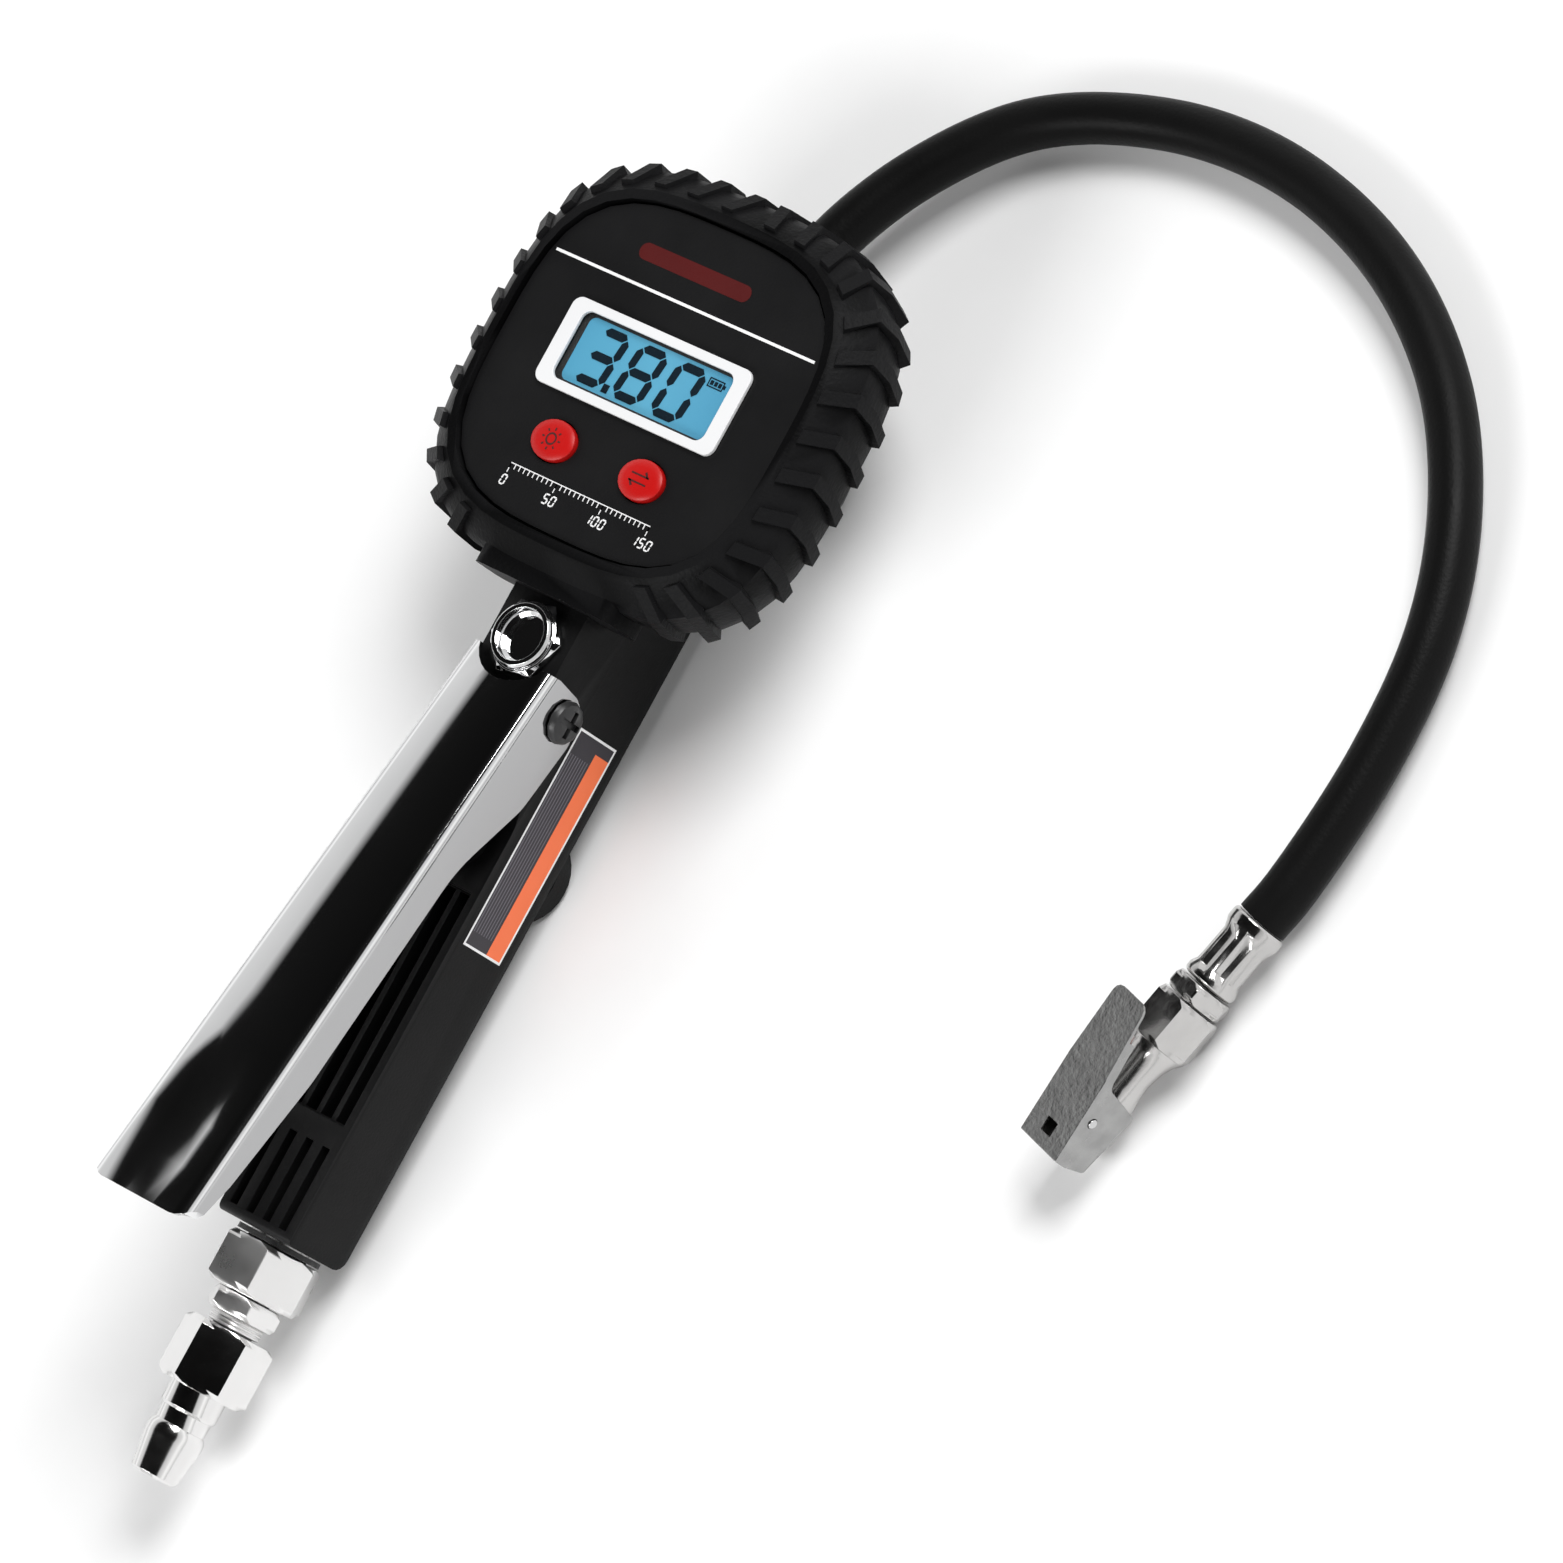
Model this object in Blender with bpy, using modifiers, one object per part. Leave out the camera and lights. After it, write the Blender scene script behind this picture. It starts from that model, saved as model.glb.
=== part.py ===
"""Tyre inflator with a digital gauge, lying on its back.

Metres, +Z up. +Y runs along the handle from the air inlet to the gauge, +X is the right side as
the gauge is read, and +Z is the side with the lever and the gauge face. The origin is on the table
under the middle of the tool.
"""
import math

import bmesh
import bpy
from mathutils import Matrix, Vector

# Fits
GAP = 0.0003
THREAD_GAP = 0.0003
RUN_GAP = 0.00015
PAST = 0.002

# Places along the tool
GAUGE_Y = 0.0955
VALVE_Y = 0.0014
VENT_Y = GAUGE_Y - 0.0545
PIVOT_Y = VENT_Y - 0.0111

# Handle
AXIS_Z = 0.0150
HANDLE_BOTTOM_Y = -0.0860
HANDLE_WIDTH = 0.0200
HANDLE_BACK_Z = 0.0060
GRIP_FRONT_Z = 0.0256
GRIP_TOP_Y = 0.0080
NECK_FRONT_Z = 0.0377
NECK_LOW_Y = VENT_Y - 0.0085
SPINE_FRONT_Z = 0.0227
SPINE_TOP_Y = GAUGE_Y + 0.0215
HANDLE_CORNER = 0.0030
HANDLE_EDGE = 0.0016
AIR_BORE = 0.0070

# Rib channel and vent slots in the front of the grip
GROOVE_COUNT = 4
GROOVE_PITCH = 0.0042
GROOVE_WIDTH = 0.0029
GROOVE_FLOOR_Z = 0.0204
GROOVE_TOP_Y = -0.0085
GROOVE_LOW_Y = -0.0600
CHANNEL_DEPTH = 0.0011
CHANNEL_MARGIN = 0.0004
SLOT_PITCH = 0.0046
SLOT_WIDTH = 0.0020
SLOT_TOP_Y = -0.0655
SLOT_LOW_Y = -0.0838
SLOT_DEPTH = 0.0040

# Air inlet
INLET_SEAL = 0.0011
INLET_SEAL_OD = 0.0182
INLET_NUT_AF = 0.0190
INLET_NUT_LENGTH = 0.0109
INLET_SPIGOT_OD = 0.0130
INLET_SPIGOT_LENGTH = 0.0110
NIPPLE_HEX_AF = 0.0140
NIPPLE_HEX_LENGTH = 0.0045
NIPPLE_NECK_OD = 0.0108
NIPPLE_NECK_LENGTH = 0.0025
NIPPLE_SPIGOT_OD = 0.0086
NIPPLE_SPIGOT_LENGTH = 0.0054
NIPPLE_BORE = 0.0050
FILTER_THICKNESS = 0.0016
PLUG_HEX_AF = 0.0170
PLUG_HEX_LENGTH = 0.0135
PLUG_COLLAR_OD = 0.0121
PLUG_COLLAR_LENGTH = 0.0050
PLUG_GROOVE_OD = 0.0108
PLUG_GROOVE_LENGTH = 0.0030
PLUG_HEAD_OD = 0.0123
PLUG_TIP_OD = 0.0100
PLUG_HEAD_LENGTH = 0.0111
PLUG_BORE = 0.0056
NUT_CHAMFER = 0.0011

# Trigger valve, square to the handle
CHAMBER_BORE = 0.0130
SEAT_Z = 0.0188
SEAT_BORE = 0.0066
GUIDE_BOSS_OD = 0.0118
GUIDE_BOSS_TOP_Z = 0.0355
GUIDE_BUSH_OD = 0.0082
GUIDE_BUSH_LENGTH = 0.0062
STEM_OD = 0.0040
STEM_PILOT_LENGTH = 0.0030
POPPET_OD = 0.0100
POPPET_THICKNESS = 0.0025
VALVE_SEAL_THICKNESS = 0.0014
REAR_CAP_OD = 0.0200
REAR_CAP_SPIGOT = 0.0016
REAR_CAP_WALL = 0.0027
REAR_SEAL_OD = 0.0156
REAR_SEAL_THICKNESS = 0.0012
SPRING_OD = 0.0078
SPRING_WIRE = 0.0007
SPRING_TURNS = 5
SPRING_POINTS = 10

# Vent plug on the neck
VENT_HEX_AF = 0.0150
VENT_HEX_HEIGHT = 0.0018
VENT_RING_OD = 0.0140
VENT_RING_HEIGHT = 0.0017
VENT_RECESS_BORE = 0.0112
VENT_RECESS_DEPTH = 0.0028
VENT_SPIGOT_OD = 0.0090
VENT_SPIGOT_LENGTH = 0.0080

# Trigger lever
PIVOT_Z = 0.0308
LEVER_TOP_Y = VENT_Y - 0.0045
LEVER_TOP_Z = 0.0403
LEVER_END_Y = -0.0914
LEVER_END_Z = 0.0629
LEVER_SHEET = 0.0011
LEVER_END_WIDTH = 0.0266
LEVER_CORNER = 0.0030
LEVER_CROWN = 0.0007
LEVER_DISH = 0.0016
LEVER_SKIRT = 0.0175
LEVER_EAR = 0.0054
LEVER_FLANGE = 0.0096
LEVER_FLANGE_END = 0.0042
LEVER_PLAN_CORNER = 0.0045
LEVER_TIP_RUN = 0.0100
LEVER_FLANGE_RUN = 0.0350
LEVER_EAR_START = 0.0360
LEVER_EAR_RUN = 0.0190
PIVOT_OD = 0.0050
PIVOT_HEAD_OD = 0.0092
PIVOT_HEAD_HEIGHT = 0.0021
PIVOT_NUT_AF = 0.0080
PIVOT_NUT_HEIGHT = 0.0030
DRIVER_SLOT = 0.0013
DRIVER_DEPTH = 0.0011

# Gauge
SQUIRCLE_POWER = 3.3
SQUIRCLE_POINTS = 48
BOOT_HALF_X = 0.0457
BOOT_HALF_Y = 0.0430
BOOT_FRONT_Z = 0.0468
BOOT_RIDGE_Z = 0.0406
BOOT_BACK_Z = 0.0275
OPENING_HALF_X = 0.0383
OPENING_HALF_Y = 0.0352
LUG_COUNT = 34
LUG_WIDTH = 0.0037
LUG_HEIGHT = 0.0014
LUG_ROOT = 0.0009
SADDLE_WIDTH = 0.0380
SADDLE_HEIGHT = 0.0022
CASE_WALL = 0.0022
CASE_FRONT_Z = 0.0432
CASE_BACK_THICKNESS = 0.0027
CASE_SEAT_Z = SPINE_FRONT_Z + GAP
PLINTH_HEIGHT = 0.0013
FACE_THICKNESS = 0.0009
LCD_Y = GAUGE_Y + 0.0015
LCD_FRAME_WIDTH = 0.0486
LCD_FRAME_HEIGHT = 0.0190
LCD_FRAME_THICKNESS = 0.0007
LCD_WINDOW_WIDTH = 0.0410
LCD_WINDOW_HEIGHT = 0.0145
LCD_LENS_THICKNESS = 0.0010
BOARD_WIDTH = 0.0480
BOARD_HEIGHT = 0.0560
BOARD_Z = 0.0355
BOARD_THICKNESS = 0.0016
SWITCH_SIZE = 0.0060
SWITCH_HEIGHT = 0.0012
BUTTON_X = 0.0120
BUTTON_Y = GAUGE_Y - 0.0175
BUTTON_LENGTH = 0.0110
BUTTON_HEIGHT = 0.0086
BUTTON_PROUD = 0.0015
BUTTON_FLANGE = 0.0011
BUTTON_FLANGE_THICKNESS = 0.0012
CELL_OD = 0.0200
CELL_THICKNESS = 0.0032
CELL_Y = GAUGE_Y - 0.0205
SENSOR_STEM_OD = 0.0036
SENSOR_STEM_LENGTH = 0.0032
SENSOR_OD = 0.0100
CASE_SCREW_X = 0.0280
CASE_SCREW_Y = 0.0240
CASE_SCREW_OD = 0.0026
CASE_SCREW_HEAD_OD = 0.0052
CASE_SCREW_HEAD_HEIGHT = 0.0016
CASE_SCREW_LENGTH = 0.0090
CASE_BOSS_OD = 0.0064
REAR_COVER_RADIUS = 0.0260
REAR_COVER_Y = GAUGE_Y + 0.0005
REAR_COVER_WALL = 0.0020
REAR_COVER_FILLET = 0.0050

# Hose outlet and hose
OUTLET_SPIGOT_OD = 0.0100
OUTLET_SPIGOT_LENGTH = 0.0095
OUTLET_HEX_AF = 0.0130
OUTLET_HEX_LENGTH = 0.0042
OUTLET_TAIL_OD = 0.0064
OUTLET_BORE = 0.0040
COLLAR_OD = 0.0132
COLLAR_LENGTH = 0.0102
HOSE_OD = 0.0106
HOSE_FLOOR_Z = HOSE_OD / 2 + 0.0003
HOSE_END_X = 0.1633
HOSE_BACK = 0.0768
HOSE_END_Z = 0.0076
HOSE_STRAIGHT = 0.0080
HOSE_STEP_COUNT = 48

# Clip-on chuck, along its own +Y from the hose to the mouth, with +Z on the clip's side
CHUCK_HEADING = math.radians(14.5)
CHUCK_ROLL = math.radians(4.0)
FERRULE_LENGTH = 0.0157
FERRULE_OD = 0.0118
FERRULE_WAIST_OD = 0.0100
FERRULE_BORE = 0.0050
CRIMP_DEPTH = 0.0005
CHUCK_NUT_AF = 0.0120
CHUCK_NUT_LENGTH = 0.0040
CHUCK_HEX_AF = 0.0130
CHUCK_HEX_LENGTH = 0.0100
CHUCK_NECK_OD = 0.0080
CHUCK_NECK_LENGTH = 0.0074
CHUCK_NOSE_OD = 0.0096
CHUCK_NOSE_LENGTH = 0.0200
CHUCK_MOUTH_BORE = 0.0082
CHUCK_MOUTH_DEPTH = 0.0110
CHUCK_AIR_BORE = 0.0030
CHUCK_SEAL_LENGTH = 0.0022
CHUCK_SEAL_BORE = 0.0046
DEPRESSOR_OD = 0.0024
DEPRESSOR_LENGTH = 0.0100
DEPRESSOR_REACH = 0.0010
PIN_LUG_WALL = 0.0010
PIN_LUG_LENGTH = 0.0046
CLIP_PIN_OD = 0.0020
CLIP_PIN_Z = 0.0070
CLIP_PIN_BACK = 0.0088
CLIP_SHEET = 0.0007
CLIP_THUMB_WIDTH = 0.0092
CLIP_THUMB_CORNER = 0.0020
CLIP_START = 0.0330
CLIP_START_Z = 0.0160
CLIP_MOUTH_Z = 0.0084
CLIP_FLANGE = 0.0026
CLIP_JAW_Z = 0.0046
CLIP_TIP = 0.0012
CLIP_SLOT = 0.0030
CLIP_SPRING_WIRE = 0.0005
CLIP_SPRING_OD = 0.0034
CLIP_SPRING_TURNS = 4

# Facets of round pieces
FINE = 30
ROUND = 20
SMALL = 12
HEX_RING = 24
SPIN = math.radians(7)

# Worked out from the sizes above
SPIGOT_SOCKET = INLET_SPIGOT_OD + 2 * THREAD_GAP
NUT_TOP_Y = HANDLE_BOTTOM_Y - GAP - INLET_SEAL - GAP
NUT_LOW_Y = NUT_TOP_Y - INLET_NUT_LENGTH
NIPPLE_TOP_Y = NUT_LOW_Y - GAP
NIPPLE_LOW_Y = NIPPLE_TOP_Y - NIPPLE_HEX_LENGTH - NIPPLE_NECK_LENGTH
PLUG_TOP_Y = NIPPLE_LOW_Y - GAP
NIPPLE_SOCKET = NIPPLE_SPIGOT_OD + 2 * THREAD_GAP
REAR_CAP_TOP_Z = HANDLE_BACK_Z - GAP
POPPET_TOP_Z = SEAT_Z - GAP - VALVE_SEAL_THICKNESS - GAP
POPPET_LOW_Z = POPPET_TOP_Z - POPPET_THICKNESS
GUIDE_BUSH_LOW_Z = GUIDE_BOSS_TOP_Z - GUIDE_BUSH_LENGTH
LEVER_SLOPE = (LEVER_END_Z - LEVER_TOP_Z) / (LEVER_TOP_Y - LEVER_END_Y)
LEVER_TOP_WIDTH = HANDLE_WIDTH + 2 * GAP + 2 * LEVER_SHEET
STEM_TOP_Z = LEVER_TOP_Z + (LEVER_TOP_Y - VALVE_Y) * LEVER_SLOPE + LEVER_CROWN - 1.05 * LEVER_SHEET - GAP
PIVOT_HOLE = PIVOT_OD + 2 * RUN_GAP
CASE_HALF_X = BOOT_HALF_X - 0.0055
CASE_HALF_Y = BOOT_HALF_Y - 0.0059
NECK_TOP_Y = GAUGE_Y - CASE_HALF_Y - GAP
CASE_LOW_Z = CASE_SEAT_Z + CASE_BACK_THICKNESS + GAP
PLINTH_TOP_Z = CASE_FRONT_Z + PLINTH_HEIGHT
FACE_LOW_Z = PLINTH_TOP_Z + GAP
FACE_TOP_Z = FACE_LOW_Z + FACE_THICKNESS
CASE_INNER_Z = CASE_FRONT_Z - CASE_WALL
BOARD_TOP_Z = BOARD_Z + BOARD_THICKNESS
OUTLET_HEX_LOW_Y = SPINE_TOP_Y + GAP
COLLAR_LOW_Y = OUTLET_HEX_LOW_Y + OUTLET_HEX_LENGTH + GAP
HOSE_START_Y = COLLAR_LOW_Y + COLLAR_LENGTH + GAP
HOSE_END_Y = HOSE_START_Y - HOSE_BACK
NUT_FACE_Y = GAP + FERRULE_LENGTH + GAP
CHUCK_TOP_Y = NUT_FACE_Y + CHUCK_NUT_LENGTH + GAP
CHUCK_NECK_Y = CHUCK_TOP_Y + CHUCK_HEX_LENGTH + CHUCK_NECK_LENGTH
MOUTH_Y = CHUCK_NECK_Y + CHUCK_NOSE_LENGTH
PIN_Y = MOUTH_Y - CLIP_PIN_BACK
CLIP_HALF_WIDTH = CHUCK_NOSE_OD / 2 + GAP + CLIP_SHEET
CLIP_SLOPE = (CLIP_START_Z - CLIP_MOUTH_Z) / CLIP_START

# The hose lies in a loose loop from the collar to the ferrule
HOSE_ROUTE = (
    (0.0000, HOSE_START_Y, AXIS_Z),
    (0.0006, HOSE_START_Y + 0.0080, AXIS_Z - 0.0003),
    (0.0090, HOSE_START_Y + 0.0282, 0.0117),
    (0.0255, HOSE_START_Y + 0.0475, 0.0079),
    (0.0535, HOSE_START_Y + 0.0583, HOSE_FLOOR_Z),
    (0.0850, HOSE_START_Y + 0.0588, HOSE_FLOOR_Z),
    (0.1156, HOSE_START_Y + 0.0494, HOSE_FLOOR_Z),
    (0.1403, HOSE_START_Y + 0.0319, HOSE_FLOOR_Z),
    (0.1564, HOSE_START_Y + 0.0098, HOSE_FLOOR_Z),
    (0.1649, HOSE_START_Y - 0.0132, HOSE_FLOOR_Z),
    (0.1672, HOSE_START_Y - 0.0400, 0.0060),
    (HOSE_END_X + HOSE_STRAIGHT * math.sin(CHUCK_HEADING),
     HOSE_END_Y + HOSE_STRAIGHT * math.cos(CHUCK_HEADING), HOSE_END_Z),
    (HOSE_END_X, HOSE_END_Y, HOSE_END_Z),
)

parts = None
cutters = None


def clear_scene():
    for item in list(bpy.data.objects):
        bpy.data.objects.remove(item, do_unlink=True)


def new_collection(name):
    collection = bpy.data.collections.new(name)
    bpy.context.scene.collection.children.link(collection)
    return collection


def finish_material(name, colour, roughness, metallic):
    material = bpy.data.materials.new(name)
    material.use_nodes = True
    shader = material.node_tree.nodes["Principled BSDF"]
    shader.inputs["Base Color"].default_value = (*colour, 1.0)
    shader.inputs["Roughness"].default_value = roughness
    shader.inputs["Metallic"].default_value = metallic
    return material


def add_part(name, mesh, material):
    item = bpy.data.objects.new(name, mesh)
    mesh.materials.clear()
    mesh.materials.append(material)
    parts.objects.link(item)
    return item


def add_cutter(name, mesh):
    item = bpy.data.objects.new(name, mesh)
    item.hide_render = True
    item.display_type = "WIRE"
    cutters.objects.link(item)
    return item


def smooth(item, angle=35.0):
    item.data.shade_smooth()
    item.data.set_sharp_from_angle(angle=math.radians(angle))


def boolean(item, other, operation="DIFFERENCE"):
    modifier = item.modifiers.new(operation.lower(), "BOOLEAN")
    modifier.operation = operation
    modifier.solver = "EXACT"
    modifier.object = other


def bevel(item, width, segments=2, angle=40.0):
    modifier = item.modifiers.new("edges", "BEVEL")
    modifier.width = width
    modifier.segments = segments
    modifier.limit_method = "ANGLE"
    modifier.angle_limit = math.radians(angle)


def put_origin(item, point):
    """Move an unturned object's origin to a point and leave its shape where it is."""
    item.data.transform(Matrix.Translation(-Vector(point)))
    item.location = point


def turned_mesh(name, profile, closed):
    """Profile points are (radius, height), down the outer side."""
    mesh = bpy.data.meshes.new(name)
    edges = [(index, index + 1) for index in range(len(profile) - 1)]
    if closed:
        edges.append((len(profile) - 1, 0))
    mesh.from_pydata([(radius, 0.0, height) for radius, height in profile], edges, [])
    return mesh


def screw(item, steps):
    modifier = item.modifiers.new("turn", "SCREW")
    modifier.axis = "Z"
    modifier.angle = 2 * math.pi
    modifier.steps = steps
    modifier.render_steps = steps
    modifier.use_merge_vertices = True
    modifier.merge_threshold = 0.00001
    modifier.use_smooth_shade = True


def turned(name, profile, material, steps=ROUND, closed=False):
    item = add_part(name, turned_mesh(name, profile, closed), material)
    screw(item, steps)
    return item


def turned_cutter(name, profile, steps=ROUND):
    item = add_cutter(name, turned_mesh(name, profile, False))
    screw(item, steps)
    return item


def rod_profile(radius, low, high):
    return [(0.0, high), (radius, high), (radius, low), (0.0, low)]


def along_y(item, x=0.0, z=0.0):
    """Stand a turned shape along +Y: its heights become Y."""
    item.rotation_euler = (-math.pi / 2, 0.0, 0.0)
    item.location = (x, 0.0, z)
    return item


def along_x(item, y=0.0, z=0.0):
    """Lay a turned shape along +X: its heights become X."""
    item.rotation_euler = (0.0, math.pi / 2, 0.0)
    item.location = (0.0, y, z)
    return item


def at_xy(item, x, y, turn=0.0):
    item.location = (x, y, 0.0)
    item.rotation_euler = (0.0, 0.0, turn)
    return item


def box_mesh(name, low, high):
    mesh = bpy.data.meshes.new(name)
    work = bmesh.new()
    bmesh.ops.create_cube(work, size=1.0)
    size = Vector(high) - Vector(low)
    middle = (Vector(high) + Vector(low)) / 2
    bmesh.ops.scale(work, vec=size, verts=work.verts)
    bmesh.ops.translate(work, vec=middle, verts=work.verts)
    work.to_mesh(mesh)
    work.free()
    return mesh


def box_cutter(name, low, high):
    return add_cutter(name, box_mesh(name, low, high))


def boxes_cutter(name, boxes):
    """One cutter that holds several boxes which don't meet."""
    mesh = bpy.data.meshes.new(name)
    work = bmesh.new()
    for low, high in boxes:
        single = box_mesh(name + "_one", low, high)
        work.from_mesh(single)
        bpy.data.meshes.remove(single)
    work.to_mesh(mesh)
    work.free()
    return add_cutter(name, mesh)


def rounded(corners, steps=4):
    """Outline through (u, v, radius) corners, with an arc at each corner that has a radius."""
    points = []
    count = len(corners)
    for index, (u, v, radius) in enumerate(corners):
        corner = Vector((u, v))
        before = Vector(corners[index - 1][:2]) - corner
        after = Vector(corners[(index + 1) % count][:2]) - corner
        if radius <= 0.0:
            points.append(corner)
            continue
        half = before.angle(after) / 2
        reach = radius / math.tan(half)
        bisector = (before.normalized() + after.normalized()).normalized()
        centre = corner + bisector * (radius / math.sin(half))
        first = corner + before.normalized() * reach - centre
        last = corner + after.normalized() * reach - centre
        turn = first.angle_signed(last)
        for step in range(steps + 1):
            angle = -turn * step / steps
            spoke = Matrix.Rotation(angle, 2) @ first
            points.append(centre + spoke)
    return points


# Which way a flat outline's own (u, v, thickness) axes point
SIDE_ON = Matrix(((0, 0, 1, 0), (1, 0, 0, 0), (0, 1, 0, 0), (0, 0, 0, 1)))
PLAN = Matrix.Identity(4)
END_ON = Matrix(((1, 0, 0, 0), (0, 0, -1, 0), (0, 1, 0, 0), (0, 0, 0, 1)))


def prism_mesh(name, outlines, low, high, way):
    """Extrude flat outlines from low to high along the third axis; inner outlines are holes."""
    curve = bpy.data.curves.new(name, "CURVE")
    curve.dimensions = "2D"
    curve.fill_mode = "BOTH"
    curve.extrude = (high - low) / 2
    for outline in outlines:
        spline = curve.splines.new("POLY")
        spline.points.add(len(outline) - 1)
        for point, place in zip(spline.points, outline):
            point.co = (place[0], place[1], 0.0, 1.0)
        spline.use_cyclic_u = True
    shape = bpy.data.objects.new(name + "_outline", curve)
    bpy.context.scene.collection.objects.link(shape)
    view = bpy.context.evaluated_depsgraph_get()
    mesh = bpy.data.meshes.new_from_object(shape.evaluated_get(view))
    bpy.data.objects.remove(shape, do_unlink=True)
    bpy.data.curves.remove(curve)
    work = bmesh.new()
    work.from_mesh(mesh)
    bmesh.ops.remove_doubles(work, verts=work.verts, dist=0.000001)
    bmesh.ops.translate(work, vec=(0.0, 0.0, (high + low) / 2), verts=work.verts)
    bmesh.ops.transform(work, matrix=way, verts=work.verts)
    bmesh.ops.recalc_face_normals(work, faces=work.faces)
    work.to_mesh(mesh)
    work.free()
    mesh.name = name
    return mesh


def prism(name, outlines, low, high, way, material):
    return add_part(name, prism_mesh(name, outlines, low, high, way), material)


def prism_cutter(name, outlines, low, high, way):
    return add_cutter(name, prism_mesh(name, outlines, low, high, way))


def hexagon(across_flats, turn=0.0):
    radius = across_flats / 2 / math.cos(math.pi / 6)
    angles = [turn + math.pi / 3 * step for step in range(6)]
    return [(radius * math.cos(angle), radius * math.sin(angle)) for angle in angles]


def oval(length, height, x=0.0, y=0.0, steps=24):
    angles = [2 * math.pi * step / steps for step in range(steps)]
    return [(x + length / 2 * math.cos(a), y + height / 2 * math.sin(a)) for a in angles]


def panel_outline(width, height, radius, x=0.0, y=0.0):
    left, right = x - width / 2, x + width / 2
    low, high = y - height / 2, y + height / 2
    corners = [(left, low, radius), (right, low, radius), (right, high, radius), (left, high, radius)]
    return rounded(corners, 3)


def squircle(half_x, half_y, count=SQUIRCLE_POINTS):
    """Rounded square about the gauge's centre."""
    points = []
    for step in range(count):
        angle = 2 * math.pi * (step + 0.5) / count
        cosine, sine = math.cos(angle), math.sin(angle)
        size = (abs(cosine) ** SQUIRCLE_POWER + abs(sine) ** SQUIRCLE_POWER) ** (-1 / SQUIRCLE_POWER)
        points.append((half_x * size * cosine, GAUGE_Y + half_y * size * sine))
    return points


def loft_mesh(name, rings, joined=False):
    """Closed solid through rings of (x, y, z) points, all of one length and turning one way.

    The ends are capped, or the last ring is joined to the first.
    """
    mesh = bpy.data.meshes.new(name)
    work = bmesh.new()
    loops = [[work.verts.new(place) for place in ring] for ring in rings]
    count = len(loops[0])
    pairs = list(zip(loops, loops[1:]))
    if joined:
        pairs.append((loops[-1], loops[0]))
    for lower, upper in pairs:
        for index in range(count):
            after = (index + 1) % count
            work.faces.new((lower[index], lower[after], upper[after], upper[index]))
    if not joined:
        work.faces.new(list(reversed(loops[0])))
        work.faces.new(loops[-1])
    bmesh.ops.recalc_face_normals(work, faces=work.faces)
    work.to_mesh(mesh)
    work.free()
    return mesh


def squircle_stack(name, levels):
    """Loft of rounded squares, each given as (z, half_x, half_y)."""
    rings = [[(x, y, z) for x, y in squircle(half_x, half_y)] for z, half_x, half_y in levels]
    return loft_mesh(name, rings)


def circle(radius):
    return lambda angle: radius


def six_sided(across_flats, clip=None, turn=0.0):
    """Radius of a hexagon at an angle, with its corners clipped to a circle."""
    def radius(angle):
        off = (angle - turn) % (math.pi / 3) - math.pi / 6
        size = across_flats / 2 / math.cos(off)
        return size if clip is None else min(size, clip)
    return radius


def crimped(radius):
    """Every third place is pressed in."""
    def shape(angle):
        step = round(angle / (2 * math.pi / HEX_RING))
        return radius - (CRIMP_DEPTH if step % 3 == 0 else 0.0)
    return shape


def nut_levels(across_flats, high, low, turn=0.0):
    """Levels of a hexagon with chamfered ends, from high to low."""
    clip = across_flats / 2 * 0.985
    edge = min(NUT_CHAMFER, 0.35 * (high - low))
    return [
        (high, six_sided(across_flats, clip, turn)),
        (high - edge, six_sided(across_flats, None, turn)),
        (low + edge, six_sided(across_flats, None, turn)),
        (low, six_sided(across_flats, clip, turn)),
    ]


def ring_stack(name, levels, material, joined=True, count=HEX_RING):
    """Body through rings of any round shape about Z: outer side down, then the bore up."""
    angles = [2 * math.pi * step / count for step in range(count)]
    rings = []
    for height, shape in levels:
        rings.append([(shape(a) * math.cos(a), shape(a) * math.sin(a), height) for a in angles])
    return add_part(name, loft_mesh(name, rings, joined), material)


def smooth_curve(route, count):
    """Evenly spread points on a smooth curve through a route (centripetal Catmull-Rom)."""
    knots = [Vector(place) for place in route]
    knots = [2 * knots[0] - knots[1]] + knots + [2 * knots[-1] - knots[-2]]
    fine = []
    for index in range(1, len(knots) - 2):
        p0, p1, p2, p3 = knots[index - 1:index + 3]
        t0 = 0.0
        t1 = t0 + math.sqrt((p1 - p0).length)
        t2 = t1 + math.sqrt((p2 - p1).length)
        t3 = t2 + math.sqrt((p3 - p2).length)
        for step in range(24):
            t = t1 + (t2 - t1) * step / 24
            a1 = p0 * ((t1 - t) / (t1 - t0)) + p1 * ((t - t0) / (t1 - t0))
            a2 = p1 * ((t2 - t) / (t2 - t1)) + p2 * ((t - t1) / (t2 - t1))
            a3 = p2 * ((t3 - t) / (t3 - t2)) + p3 * ((t - t2) / (t3 - t2))
            b1 = a1 * ((t2 - t) / (t2 - t0)) + a2 * ((t - t0) / (t2 - t0))
            b2 = a2 * ((t3 - t) / (t3 - t1)) + a3 * ((t - t1) / (t3 - t1))
            fine.append(b1 * ((t2 - t) / (t2 - t1)) + b2 * ((t - t1) / (t2 - t1)))
    fine.append(knots[-2])
    lengths = [0.0]
    for first, second in zip(fine, fine[1:]):
        lengths.append(lengths[-1] + (second - first).length)
    points = []
    for step in range(count):
        wanted = lengths[-1] * step / (count - 1)
        index = min(next(i for i, run in enumerate(lengths) if run >= wanted - 1e-9), len(fine) - 1)
        if index == 0:
            points.append(fine[0].copy())
            continue
        part = (wanted - lengths[index - 1]) / (lengths[index] - lengths[index - 1])
        points.append(fine[index - 1].lerp(fine[index], part))
    return points


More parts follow.
